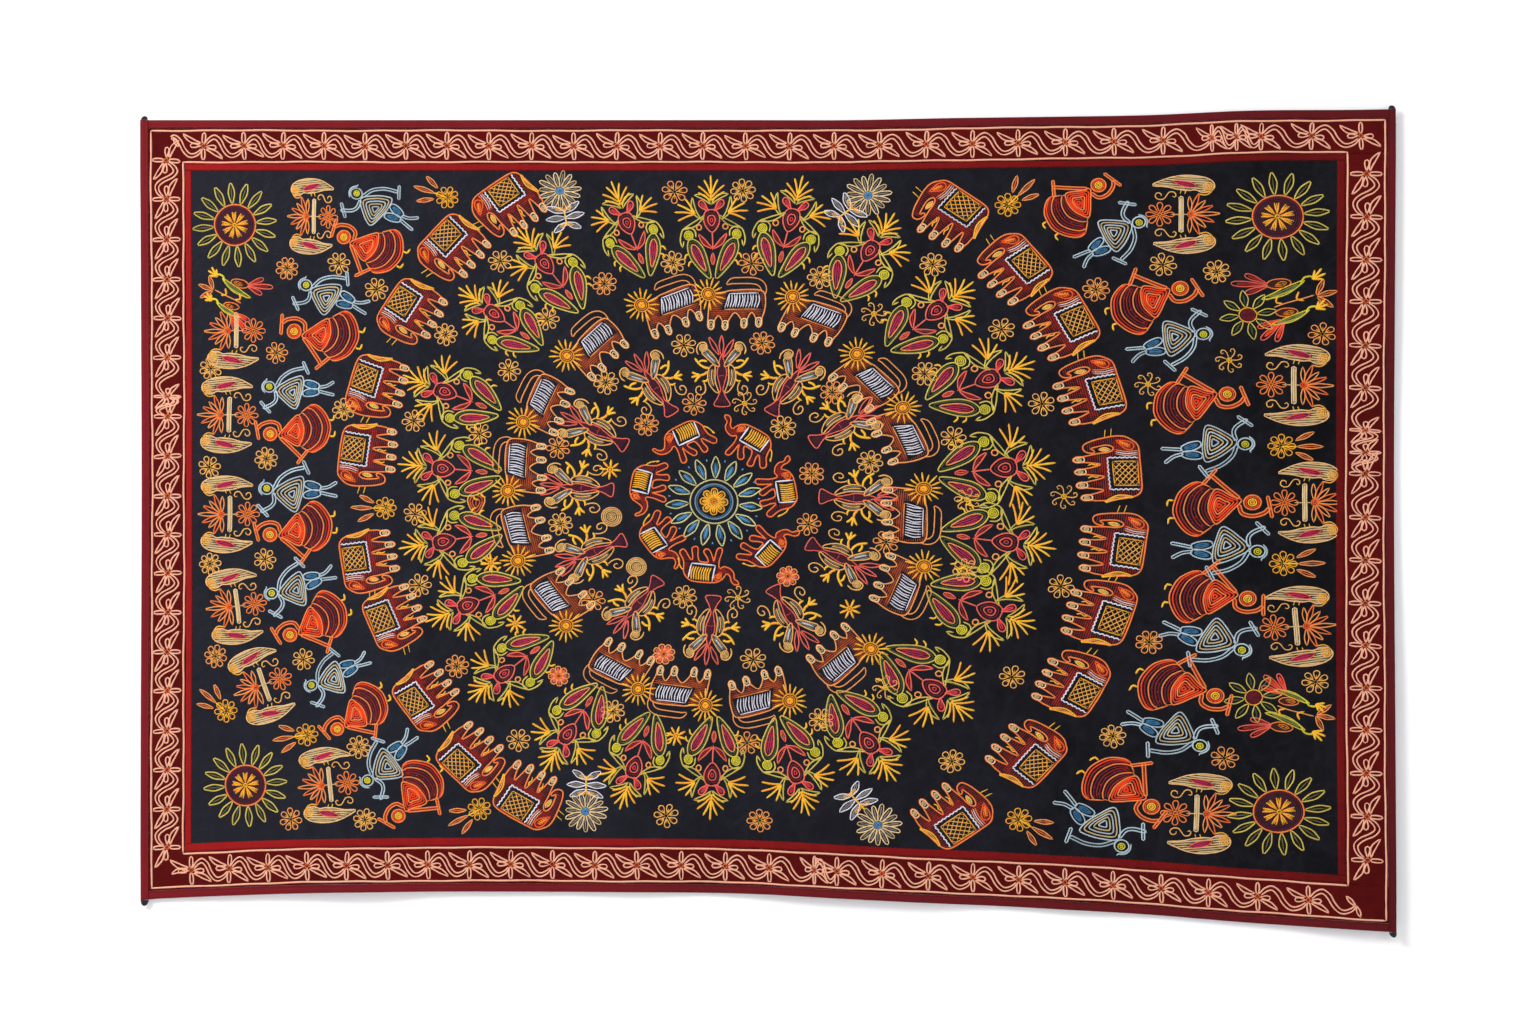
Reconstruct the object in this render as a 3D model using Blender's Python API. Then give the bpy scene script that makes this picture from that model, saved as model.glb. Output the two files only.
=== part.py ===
"""A large embroidered wall hanging as it hangs on a wall.

A black ground panel sits in a thin red strip, a maroon band and a folded edge binding. The middle
of the top hem is the origin, the front faces -Y, and all sizes are in metres.
"""
import math

import bmesh
import bpy

# Flat sizes of the whole cloth
WIDTH = 1.520
FLAT_HEIGHT = 0.958
HALF_WIDTH = WIDTH / 2

# Widths of the strips on each side, from the outside inwards
BINDING = {"top": 0.0098, "bottom": 0.0102, "left": 0.0103, "right": 0.0097}
BAND = {"top": 0.0436, "bottom": 0.0454, "left": 0.0442, "right": 0.0514}
STRIP = {"top": 0.0080, "bottom": 0.0098, "left": 0.0079, "right": 0.0103}

# Thickness of each cloth, and the gap that parts two pieces
GROUND_THICKNESS = 0.0016
BAND_THICKNESS = 0.0018
STRIP_THICKNESS = 0.0018
BINDING_THICKNESS = 0.0030
BINDING_BACK = 0.0012
GAP = 0.0003

# The two hems as the cloth hangs: the right end was pulled up and hangs lower than the left
HEMS = (
    # across, height of the top hem, height of the bottom hem
    (-0.760, 0.0000, -0.9446),
    (-0.735, 0.0000, -0.9427),
    (-0.627, 0.0000, -0.9379),
    (-0.505, 0.0000, -0.9345),
    (-0.264, 0.0000, -0.9343),
    (-0.022, 0.0000, -0.9367),
    (0.099, 0.0000, -0.9427),
    (0.220, 0.0024, -0.9488),
    (0.341, 0.0040, -0.9548),
    (0.462, 0.0061, -0.9621),
    (0.583, 0.0115, -0.9718),
    (0.704, 0.0124, -0.9791),
    (0.760, 0.0133, -0.9827),
)
SIDE_BOW = 0.0018

# Old packing folds, which stand forward as soft ridges
FOLDS = (
    # runs, where, from, to, height of the ridge
    ("down", -0.421, -0.075, -0.930, 0.0030),
    ("down", -0.073, -0.075, -0.930, 0.0024),
    ("down", 0.339, -0.075, -0.935, 0.0028),
    ("down", 0.549, -0.075, -0.420, 0.0018),
    ("across", -0.236, 0.200, 0.370, 0.0018),
    ("across", -0.464, -0.480, -0.230, 0.0022),
    ("across", -0.684, -0.520, 0.340, 0.0022),
)
FOLD_REACH = 0.024
FOLD_RUN_OUT = 0.060

# Slow waves of the hanging cloth
WAVES = (
    # height, length across, length down, phase
    (0.0024, 0.62, 1.90, 0.4),
    (0.0014, 0.31, -0.85, 1.9),
    (0.0007, 0.17, 0.47, 4.1),
)
HELD_FLAT = 0.065
LOOSE_BELOW = 0.420
WAVE_GROWTH = 0.5

# The longest facet of a piece along the cloth
LONGEST_FACET = 0.072

# The folded binding's section: share of its width from the outer edge inwards, share of its thickness
BINDING_SECTION = (
    (0.00, 0.25),
    (0.12, 0.72),
    (0.45, 0.86),
    (0.80, 0.70),
    (0.90, 1.00),
    (1.00, 0.45),
)

# Tails of the side bindings, which stand past the hems
CORNER_ENDS = (
    # side, hem, width, length
    ("left", "top", 0.0085, 0.0045),
    ("right", "top", 0.0088, 0.0042),
    ("left", "bottom", 0.0098, 0.0070),
    ("right", "bottom", 0.0094, 0.0062),
)
CORNER_THICKNESS = 0.0034
CORNER_SIDES = 12
CORNER_RINGS = 8

# Colours in sRGB, and how rough each cloth is
FINISHES = {
    "ground_cloth": ((28, 27, 33), 0.92),
    "strip_cloth": ((122, 30, 36), 0.85),
    "border_cloth": ((106, 20, 28), 0.88),
    "binding_cloth": ((112, 24, 32), 0.80),
    "corner_cloth": ((20, 16, 20), 0.85),
}
SHARP_ANGLE = math.radians(50)


def ease(share):
    """0 to 1 with a soft start and a soft end."""
    share = min(max(share, 0.0), 1.0)
    return share * share * (3 - 2 * share)


def through(stations, across, column):
    """A smooth curve through one column of a table of stations."""
    last = len(stations) - 1
    at = max(i for i in range(last) if i == 0 or stations[i][0] <= across)

    def slope(i):
        before, after = stations[max(i - 1, 0)], stations[min(i + 1, last)]
        return (after[column] - before[column]) / (after[0] - before[0])

    start, end = stations[at], stations[at + 1]
    span = end[0] - start[0]
    share = (across - start[0]) / span
    rise = end[column] - start[column]
    leave, reach = slope(at) * span, slope(at + 1) * span
    curve = (leave + reach - 2 * rise) * share + 3 * rise - 2 * leave - reach
    return start[column] + share * (leave + share * curve)


def hem_height(hem, across):
    across = min(max(across, -HALF_WIDTH), HALF_WIDTH)
    return through(HEMS, across, 1 if hem == "top" else 2)


def border(side):
    """All that lies between an outer edge and the ground panel."""
    return BINDING[side] + BAND[side] + STRIP[side]


def drape(x, z):
    """How far the cloth's middle stands back from the wall plane, as y."""
    loose = ease((-z - HELD_FLAT) / LOOSE_BELOW) * (WAVE_GROWTH - z)
    y = loose * sum(
        height * math.sin(2 * math.pi * (x / across + z / down) + phase)
        for height, across, down, phase in WAVES
    )
    for runs, where, start, end, height in FOLDS:
        off, along = (x - where, z) if runs == "down" else (z - where, x)
        near = max(0.0, 1 - abs(off) / FOLD_REACH)
        low, high = min(start, end), max(start, end)
        inside = min(along - low, high - along) / FOLD_RUN_OUT
        y -= height * near * near * ease(inside)
    return y


def place(across, down, y=0.0):
    """A point of the hanging cloth, from its place on the flat cloth and its depth in the thickness."""
    top, bottom = hem_height("top", across), hem_height("bottom", across)
    low = FLAT_HEIGHT - border("bottom")
    share = (down - border("top")) / (low - border("top"))
    if share < 0:
        z = top - down
    elif share > 1:
        z = bottom + FLAT_HEIGHT - down
    else:
        z = (top - border("top")) * (1 - share) + (bottom + border("bottom")) * share
    x = across - across / HALF_WIDTH * SIDE_BOW * math.sin(math.pi * min(max(share, 0), 1))
    return x, drape(x, z) + y, z


def lines_between(start, end, keys=()):
    """Places from start to end that hit each key and its shoulders, with even steps between."""
    held = {start, end}
    for key in keys:
        held.update(k for k in (key - FOLD_REACH, key, key + FOLD_REACH) if start < k < end)
    held = sorted(held)
    lines = []
    for low, high in zip(held, held[1:]):
        steps = math.ceil((high - low) / LONGEST_FACET - 1e-6)
        lines += [low + (high - low) * i / steps for i in range(steps)]
    return lines + [end]


def lines_within(start, end, level):
    """Lines across a piece's run. Every piece has the ground panel's own, so that facets match."""
    first, last, runs = ("left", "right", "down") if level else ("top", "bottom", "across")
    low, high = (-HALF_WIDTH, HALF_WIDTH) if level else (0, FLAT_HEIGHT)
    keys = [abs(where) if runs == "across" else where for way, where, *_ in FOLDS if way == runs]
    inner = lines_between(low + border(first), high - border(last), keys)
    return [start] + [line for line in inner if start < line < end] + [end]


def cloth_material(slot):
    colour, roughness = FINISHES[slot]
    material = bpy.data.materials.get(slot) or bpy.data.materials.new(slot)
    material.use_nodes = True
    shader = material.node_tree.nodes["Principled BSDF"]
    linear = [((c / 255 + 0.055) / 1.055) ** 2.4 for c in colour]
    shader.inputs["Base Color"].default_value = (*linear, 1)
    shader.inputs["Roughness"].default_value = roughness
    shader.inputs["Metallic"].default_value = 0
    return material


def add_piece(name, mesh_in_work, slot, parent):
    """Turns a finished bmesh into a named object of the hanging."""
    bmesh.ops.recalc_face_normals(mesh_in_work, faces=mesh_in_work.faces)
    mesh = bpy.data.meshes.new(name)
    mesh_in_work.to_mesh(mesh)
    mesh_in_work.free()
    mesh.shade_smooth()
    mesh.set_sharp_from_angle(angle=SHARP_ANGLE)
    mesh.materials.append(cloth_material(slot))
    piece = bpy.data.objects.new(name, mesh)
    bpy.context.scene.collection.objects.link(piece)
    piece.parent = parent
    return piece


def add_panel(name, thickness, slot, parent):
    """The middle sheet of cloth with a front, a back and a rim, bent to the drape."""
    inset = GAP / 2
    across_lines = lines_within(
        -HALF_WIDTH + border("left") + inset, HALF_WIDTH - border("right") - inset, True
    )
    down_lines = lines_within(border("top") + inset, FLAT_HEIGHT - border("bottom") - inset, False)
    work = bmesh.new()
    front, back = (
        [[work.verts.new(place(a, d, y)) for a in across_lines] for d in down_lines]
        for y in (-thickness / 2, thickness / 2)
    )
    last_row, last_line = len(down_lines) - 1, len(across_lines) - 1
    for r in range(last_row):
        for c in range(last_line):
            for side in (front, back):
                work.faces.new((side[r][c], side[r][c + 1], side[r + 1][c + 1], side[r + 1][c]))
    rim = [(0, c) for c in range(last_line)] + [(r, last_line) for r in range(last_row)]
    rim += [(last_row, c) for c in range(last_line, 0, -1)] + [(r, 0) for r in range(last_row, 0, -1)]
    for (r, c), (next_r, next_c) in zip(rim, rim[1:] + rim[:1]):
        work.faces.new((front[r][c], front[next_r][next_c], back[next_r][next_c], back[r][c]))
    return add_piece(name, work, slot, parent)


def add_strip(name, side, outer, width, section, along, slot, parent):
    """A narrow piece of cloth: its section is carried along one side of the hanging.

    outer is the strip's distance in from the outer edge. The section's points are shares of the
    width, from the outside inwards, with their depth.
    """
    work = bmesh.new()
    rings = []
    for station in along:
        ring = []
        for share, y in section:
            inwards = outer + share * width
            if side == "top":
                point = place(station, inwards, y)
            elif side == "bottom":
                point = place(station, FLAT_HEIGHT - inwards, y)
            elif side == "left":
                point = place(-HALF_WIDTH + inwards, station, y)
            else:
                point = place(HALF_WIDTH - inwards, station, y)
            ring.append(work.verts.new(point))
        rings.append(ring)
    for ring, following in zip(rings, rings[1:]):
        for i in range(len(ring)):
            j = (i + 1) % len(ring)
            work.faces.new((ring[i], ring[j], following[j], following[i]))
    work.faces.new(rings[0])
    work.faces.new(rings[-1])
    return add_piece(name, work, slot, parent)


def flat_section(width, thickness, steps=1):
    """A thin oblong section, drawn in by the gap on both sides."""
    edge = GAP / 2 / width
    shares = [edge + (1 - 2 * edge) * i / steps for i in range(steps + 1)]
    return [(s, -thickness / 2) for s in shares] + [(s, thickness / 2) for s in reversed(shares)]


def binding_section(width):
    """The folded binding: rounded outside, with a ridge along its inner fold and a flat back."""
    inner = 1 - GAP / 2 / width
    front = [(min(s, inner), BINDING_BACK - t * BINDING_THICKNESS) for s, t in BINDING_SECTION]
    return front + [(inner, BINDING_BACK), (0.0, BINDING_BACK)]


def run_of(piece, side):
    """Lines along a strip, from one end to the other, stopping short of the strips that pass it."""
    level = side in ("top", "bottom")
    passed_by = {
        "binding": ((BINDING,), ()),
        "border": ((BINDING,), (BINDING, BAND)),
        "strip": ((BINDING, BAND), (BINDING, BAND, STRIP)),
    }[piece][0 if level else 1]
    start, end = (-HALF_WIDTH, HALF_WIDTH) if level else (0, FLAT_HEIGHT)
    first, last = ("left", "right") if level else ("top", "bottom")
    if passed_by:
        start += sum(widths[first] for widths in passed_by) + GAP / 2
        end -= sum(widths[last] for widths in passed_by) + GAP / 2
    return lines_within(start, end, level)


def add_side(side, parent):
    """The binding, the maroon band and the red strip on one side of the ground panel."""
    binding, band, strip = BINDING[side], BAND[side], STRIP[side]
    pieces = (
        # piece, distance in, width, section, finish
        ("binding", 0, binding, binding_section(binding), "binding_cloth"),
        ("border", binding, band, flat_section(band, BAND_THICKNESS, 2), "border_cloth"),
        ("strip", binding + band, strip, flat_section(strip, STRIP_THICKNESS), "strip_cloth"),
    )
    for piece, outer, width, section, slot in pieces:
        add_strip(f"{piece}_{side}", side, outer, width, section, run_of(piece, side), slot, parent)


def add_corner_end(side, hem, width, length, parent):
    """A rounded black tail at a corner, half of a flattened ball that grows out of the hem."""
    work = bmesh.new()
    bmesh.ops.create_uvsphere(work, u_segments=CORNER_SIDES, v_segments=CORNER_RINGS, radius=1)
    bmesh.ops.bisect_plane(
        work,
        geom=work.verts[:] + work.edges[:] + work.faces[:],
        dist=1e-6,
        plane_co=(0, 0, 0),
        plane_no=(0, 0, -1),
        clear_outer=True,
    )
    bmesh.ops.holes_fill(work, edges=[e for e in work.edges if e.is_boundary])
    middle = HALF_WIDTH - BINDING[side] / 2
    across = -middle if side == "left" else middle
    way = 1 if hem == "top" else -1
    for vert in work.verts:
        x = across + vert.co.x * width / 2
        z = hem_height(hem, x) + way * (GAP + vert.co.z * length)
        y = drape(x, z) + vert.co.y * CORNER_THICKNESS / 2
        vert.co = (x, y, z)
    add_piece(f"corner_end_{hem}_{side}", work, "corner_cloth", parent)


def main():
    for old in list(bpy.data.objects):
        bpy.data.objects.remove(old)
    hanging = bpy.data.objects.new("wall_hanging", None)
    bpy.context.scene.collection.objects.link(hanging)

    add_panel("ground_panel", GROUND_THICKNESS, "ground_cloth", hanging)
    for side in ("top", "bottom", "left", "right"):
        add_side(side, hanging)
    for side, hem, width, length in CORNER_ENDS:
        add_corner_end(side, hem, width, length, hanging)


main()
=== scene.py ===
import math

import bmesh
import bpy
import mathutils
import numpy as np
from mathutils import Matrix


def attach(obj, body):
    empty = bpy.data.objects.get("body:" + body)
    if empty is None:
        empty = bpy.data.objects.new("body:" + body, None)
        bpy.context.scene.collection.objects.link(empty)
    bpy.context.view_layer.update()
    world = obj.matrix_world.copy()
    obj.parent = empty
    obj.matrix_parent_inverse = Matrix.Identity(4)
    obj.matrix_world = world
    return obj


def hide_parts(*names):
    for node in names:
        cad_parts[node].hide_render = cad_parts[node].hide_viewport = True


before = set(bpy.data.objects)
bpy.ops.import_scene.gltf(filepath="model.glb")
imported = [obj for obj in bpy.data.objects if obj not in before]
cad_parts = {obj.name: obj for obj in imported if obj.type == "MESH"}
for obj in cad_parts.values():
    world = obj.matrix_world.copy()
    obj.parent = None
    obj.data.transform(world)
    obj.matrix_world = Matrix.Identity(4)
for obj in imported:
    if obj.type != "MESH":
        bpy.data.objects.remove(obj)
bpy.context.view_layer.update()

RANDOM = np.random.default_rng(27)

# Sizes of the flat cloth and how it hangs, as in the part's source, in metres
WIDTH = 1.520
FLAT_HEIGHT = 0.958
HALF_WIDTH = WIDTH / 2
BINDING = {"top": 0.0098, "bottom": 0.0102, "left": 0.0103, "right": 0.0097}
BAND = {"top": 0.0436, "bottom": 0.0454, "left": 0.0442, "right": 0.0514}
STRIP = {"top": 0.0080, "bottom": 0.0098, "left": 0.0079, "right": 0.0103}
GAP = 0.0003
HEMS = (
    # across, height of the top hem, height of the bottom hem
    (-0.760, 0.0000, -0.9446),
    (-0.735, 0.0000, -0.9427),
    (-0.627, 0.0000, -0.9379),
    (-0.505, 0.0000, -0.9345),
    (-0.264, 0.0000, -0.9343),
    (-0.022, 0.0000, -0.9367),
    (0.099, 0.0000, -0.9427),
    (0.220, 0.0024, -0.9488),
    (0.341, 0.0040, -0.9548),
    (0.462, 0.0061, -0.9621),
    (0.583, 0.0115, -0.9718),
    (0.704, 0.0124, -0.9791),
    (0.760, 0.0133, -0.9827),
)
SIDE_BOW = 0.0018
FOLDS = (
    # runs, where, from, to, height of the ridge
    ("down", -0.421, -0.075, -0.930, 0.0030),
    ("down", -0.073, -0.075, -0.930, 0.0024),
    ("down", 0.339, -0.075, -0.935, 0.0028),
    ("down", 0.549, -0.075, -0.420, 0.0018),
    ("across", -0.236, 0.200, 0.370, 0.0018),
    ("across", -0.464, -0.480, -0.230, 0.0022),
    ("across", -0.684, -0.520, 0.340, 0.0022),
)
FOLD_REACH = 0.024
FOLD_RUN_OUT = 0.060
WAVES = (
    # height, length across, length down, phase
    (0.0024, 0.62, 1.90, 0.4),
    (0.0014, 0.31, -0.85, 1.9),
    (0.0007, 0.17, 0.47, 4.1),
)
HELD_FLAT = 0.065
LOOSE_BELOW = 0.420
WAVE_GROWTH = 0.5

# Small creases that only show close to, in millimetres and degrees. A ridge stands forward
CREASES = (
    # across, up, turn, length, width, height
    (-610, -105, 82, 60, 7, 0.8),
    (-590, -250, 60, 90, 9, 0.9),
    (-560, -420, -35, 80, 8, 0.7),
    (-640, -560, 75, 110, 9, 0.8),
    (-520, -760, 40, 90, 8, 0.7),
    (-455, -300, 25, 100, 8, 0.9),
    (-430, -560, -50, 90, 9, -0.8),
    (-380, -100, 65, 60, 8, 0.8),
    (-360, -420, 20, 120, 9, 0.9),
    (-330, -640, -30, 90, 8, 0.7),
    (-300, -200, -60, 70, 7, 0.7),
    (-250, -350, 50, 110, 9, -0.8),
    (-230, -110, 85, 60, 7, 0.8),
    (-210, -800, 15, 110, 9, 0.8),
    (-160, -250, 35, 100, 8, 0.8),
    (-120, -560, -40, 110, 9, 0.8),
    (-90, -130, 75, 70, 8, 0.9),
    (-20, -680, 5, 120, 8, 0.9),
    (10, -300, -55, 90, 8, -0.7),
    (60, -480, 30, 110, 9, 0.7),
    (110, -820, 60, 70, 8, 0.7),
    (160, -180, -25, 90, 8, 0.7),
    (200, -560, 70, 110, 8, 0.7),
    (260, -330, 12, 90, 8, 0.8),
    (300, -740, -20, 90, 8, 0.6),
    (380, -440, 55, 100, 8, 0.6),
    (430, -130, -70, 60, 7, 0.7),
    (470, -640, 80, 110, 8, 0.6),
    (560, -260, -15, 80, 8, 0.6),
    (600, -520, 65, 90, 8, 0.5),
    (610, -850, 20, 80, 8, 0.6),
)
CREASE_GAIN = 1.35
CREASE_BEND = 0.12
CREASE_TAPER = 2.2
PUCKERS = (
    # height, length, turn: low ripples that stitching draws up all over the ground
    (0.00013, 0.031, 0.3),
    (0.00011, 0.023, 1.5),
    (0.00008, 0.014, 2.4),
)

# Where the photo was taken from, and its frame
FRAME_WIDTH = 1.8589
FRAME_MIDDLE = -0.4744
CAMERA_LENS = 85.0
CAMERA_SENSOR = 36.0


def ease(share):
    share = np.clip(share, 0.0, 1.0)
    return share * share * (3 - 2 * share)


def through(stations, across, column):
    """A smooth curve through one column of a table of stations, for many places at once."""
    table = np.array(stations)
    xs, ys = table[:, 0], table[:, column]
    before = np.maximum(np.arange(len(xs)) - 1, 0)
    after = np.minimum(np.arange(len(xs)) + 1, len(xs) - 1)
    slopes = (ys[after] - ys[before]) / (xs[after] - xs[before])
    at = np.clip(np.searchsorted(xs, across, side="right") - 1, 0, len(xs) - 2)
    span = xs[at + 1] - xs[at]
    share = (across - xs[at]) / span
    rise = ys[at + 1] - ys[at]
    leave, reach = slopes[at] * span, slopes[at + 1] * span
    curve = (leave + reach - 2 * rise) * share + 3 * rise - 2 * leave - reach
    return ys[at] + share * (leave + share * curve)


def hem_height(hem, across):
    return through(HEMS, np.clip(across, -HALF_WIDTH, HALF_WIDTH), 1 if hem == "top" else 2)


def border(side):
    return BINDING[side] + BAND[side] + STRIP[side]


def drape(x, z):
    """The middle of the cloth's thickness, as y: waves and packing folds as in the part's source."""
    loose = ease((-z - HELD_FLAT) / LOOSE_BELOW) * (WAVE_GROWTH - z)
    y = sum(h * np.sin(2 * math.pi * (x / a + z / d) + p) for h, a, d, p in WAVES) * loose
    for runs, where, start, end, height in FOLDS:
        off, along = (x - where, z) if runs == "down" else (z - where, x)
        near = np.maximum(0.0, 1 - np.abs(off) / FOLD_REACH)
        low, high = min(start, end), max(start, end)
        y = y - height * near * near * ease(np.minimum(along - low, high - along) / FOLD_RUN_OUT)
    return y


def surface(x, z):
    """The hanging cloth with its small creases and the puckers that stitching draws up."""
    y = drape(x, z)
    fine = ease((-z - HELD_FLAT) / HELD_FLAT)
    for across, up, turn, length, width, height in CREASES:
        c, s = math.cos(math.radians(turn)), math.sin(math.radians(turn))
        dx, dz = x - across / 1000, z - up / 1000
        along, off = dx * c + dz * s, dz * c - dx * s
        off = off + CREASE_BEND * along * along / (length / 1000)
        fade = np.exp(-((CREASE_TAPER * along * 1000 / length) ** 2 + (off * 1000 / width) ** 2))
        y = y - fine * height / 1000 * CREASE_GAIN * fade
    for height, length, turn in PUCKERS:
        wave = x * math.cos(turn) + z * math.sin(turn)
        cross = z * math.cos(turn) - x * math.sin(turn)
        y = y + height * np.sin(2 * math.pi * wave / length + 2 * np.sin(cross / length))
    return y


def on_wall(across, down):
    """Where a place of the flat cloth hangs: x and z."""
    top, bottom = hem_height("top", across), hem_height("bottom", across)
    low = FLAT_HEIGHT - border("bottom")
    share = (down - border("top")) / (low - border("top"))
    inner = (top - border("top")) * (1 - share) + (bottom + border("bottom")) * share
    z = np.where(share < 0, top - down, np.where(share > 1, bottom + FLAT_HEIGHT - down, inner))
    x = across - across / HALF_WIDTH * SIDE_BOW * np.sin(math.pi * np.clip(share, 0, 1))
    return x, z


# Materials

def linear(red, green, blue):
    """A colour as a screen shows it, turned into light."""
    return tuple(((c / 255 + 0.055) / 1.055) ** 2.4 for c in (red, green, blue))


class Value:
    """One socket, so that shader maths can be written as an expression."""

    def __init__(self, sheet, socket):
        self.sheet, self.socket = sheet, socket

    def _maths(self, operation, *others):
        return self.sheet.node("ShaderNodeMath", {"operation": operation}, [self, *others])[0]

    def __add__(self, other):
        return self._maths("ADD", other)

    def __sub__(self, other):
        return self._maths("SUBTRACT", other)

    def __mul__(self, other):
        return self._maths("MULTIPLY", other)

    def __rsub__(self, other):
        return self.sheet.node("ShaderNodeMath", {"operation": "SUBTRACT"}, [other, self])[0]

    def __pow__(self, other):
        return self._maths("POWER", other)

    __radd__ = __add__
    __rmul__ = __mul__

    def sine(self):
        return self._maths("SINE")

    def size(self):
        return self._maths("ABSOLUTE")

    def part(self):
        return self._maths("FRACT")

    def most(self, other):
        return self._maths("MAXIMUM", other)

    def least(self, other):
        return self._maths("MINIMUM", other)

    def held(self):
        """Kept between 0 and 1."""
        return self.most(0.0).least(1.0)


class Finish:
    """A material being put together from nodes."""

    def __init__(self, name, roughness, sheen=0.0, sheen_roughness=0.5, specular=0.3):
        self.material = bpy.data.materials.new(name)
        self.material.use_nodes = True
        self.tree = self.material.node_tree
        self.shader = self.tree.nodes["Principled BSDF"]
        self.set(self.shader.inputs["Roughness"], roughness)
        self.shader.inputs["Sheen Weight"].default_value = sheen
        self.shader.inputs["Sheen Roughness"].default_value = sheen_roughness
        self.shader.inputs["Specular IOR Level"].default_value = specular

    def set(self, socket, value):
        if isinstance(value, Value):
            self.tree.links.new(value.socket, socket)
        elif isinstance(value, tuple) and len(value) == 3 and len(socket.default_value) == 4:
            socket.default_value = (*value, 1.0)
        else:
            socket.default_value = value

    def node(self, kind, settings=None, inputs=()):
        """Adds a node: its settings first, then the values or links of its sockets."""
        made = self.tree.nodes.new(kind)
        for key, value in (settings or {}).items():
            setattr(made, key, value)
        pairs = inputs.items() if isinstance(inputs, dict) else enumerate(inputs)
        for key, value in pairs:
            self.set(made.inputs[key], value)
        return [Value(self, socket) for socket in made.outputs if socket.enabled]

    def place(self):
        return self.node("ShaderNodeTexCoord")[3]

    def split(self, vector):
        return self.node("ShaderNodeSeparateXYZ", None, [vector])

    def noise(self, place, scale, detail=2.0, roughness=0.5):
        inputs = {"Vector": place, "Scale": scale, "Detail": detail, "Roughness": roughness}
        return self.node("ShaderNodeTexNoise", None, inputs)[0]

    def blend(self, factor, first, second, way="MIX"):
        settings = {"data_type": "RGBA", "blend_type": way}
        inputs = {"Factor": factor, 6: first, 7: second}
        return self.node("ShaderNodeMix", settings, inputs)[0]

    def relief(self, height, distance, strength=1.0):
        inputs = {"Strength": strength, "Distance": distance, "Height": height}
        normal = self.node("ShaderNodeBump", None, inputs)[0]
        self.set(self.shader.inputs["Normal"], normal)

    def colour(self, value):
        self.set(self.shader.inputs["Base Color"], value)
        return self.material


THREAD_PITCH = 0.0009
WEAVE_DEPTH = 0.00012
# How many to the metre: broad patches of dye, small flecks of it, and the wrinkle pattern, which carries
# relief and painted sheen
DYE_PATCHES, DYE_FLECKS, WRINKLES = 7.0, 90.0, 19.0


def cotton(name, dark, light, roughness, mottle, sheen, painted_light_from_left=0.0, specular=0.15,
           wrinkle_sheen_and_wear=0.0):
    """Plain woven cotton: crossing threads and uneven dye, with painted light that makes it lighter
    towards the left and painted sheen, partly rub wear, along wrinkle lines.
    """
    finish = Finish(name, roughness, sheen, specular=specular)
    place = finish.place()
    x, _, z = finish.split(place)
    warp = (x * (2 * math.pi / THREAD_PITCH)).sine()
    weft = (z * (2 * math.pi / THREAD_PITCH)).sine()
    weave = warp * weft * 0.5 + 0.5
    broad = finish.noise(place, DYE_PATCHES, 3.0)
    small = finish.noise(place, DYE_FLECKS, 3.0, 0.6)
    lightness = (broad - 0.5) * mottle + (small - 0.5) * mottle * 0.8 + 0.42 + (weave - 0.5) * 0.25
    # Painted light: lighter towards the left and darker towards the right, as the lamps fall off across
    # the cloth.
    if painted_light_from_left:
        lightness = lightness + (0.35 - x) * painted_light_from_left
    relief = weave * 0.35 + small * 2.2
    if wrinkle_sheen_and_wear:
        pull = finish.noise(place, WRINKLES, 3.0, 0.6)
        ridge = (1.0 - (pull - 0.5).size() * 9.0).held() ** 2.0
        # Painted sheen, partly rub wear: the colour is painted lighter along the wrinkle ridges.
        lightness = lightness + (ridge - 0.2) * wrinkle_sheen_and_wear
        relief = relief + ridge * 5.0
    finish.relief(relief, WEAVE_DEPTH)
    return finish.colour(finish.blend(lightness.held(), dark, light))


LINK = 0.0031


def stitch_finish(name, roughness, sheen):
    """Chain stitch thread: every link has two strands that part and meet again, with painted shade in
    the groove between them.
    """
    finish = Finish(name, roughness, sheen, 0.4, 0.18)
    thread = finish.node("ShaderNodeAttribute", {"attribute_name": "thread"})[0]
    across, along, _ = finish.split(finish.node("ShaderNodeUVMap", {"uv_map": "stitch"})[0])
    link = along.part()
    parting = (link * math.pi).sine() * 0.17 + 0.12
    strand = 1.0 - ((across - 0.5).size() - parting).size() * 5.0
    raised = strand.held()
    twist = (across * 9.0 + along * 24.0).sine() * 0.12
    uneven = finish.noise(finish.place(), 60.0, 2.0)
    finish.relief(raised + twist, 0.0004, 0.8)
    # Painted shade: the strands are lighter where they stand up and darker in the groove where they
    # part, then mixed towards dark brown there.
    shade = (raised * 0.36 + 0.72 + (uneven - 0.5) * 0.3).held()
    groove_shaded = finish.blend(1.0 - shade, thread, finish.blend(1.0, thread, thread, "MULTIPLY"))
    return finish.colour(finish.blend((1.0 - raised) * 0.2, groove_shaded, linear(34, 12, 10)))


# Cloth pieces

def ride_on_cloth(piece, slot, nodes=()):
    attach(piece, "root")
    if nodes:
        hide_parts(*nodes)
    return piece


def piece_from(name, points, faces, material, smooth_angle=55):
    mesh = bpy.data.meshes.new(name)
    mesh.from_pydata(points, [], faces)
    mesh.materials.append(material)
    mesh.shade_smooth()
    mesh.set_sharp_from_angle(angle=math.radians(smooth_angle))
    piece = bpy.data.objects.new(name, mesh)
    bpy.context.scene.collection.objects.link(piece)
    return piece


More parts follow.
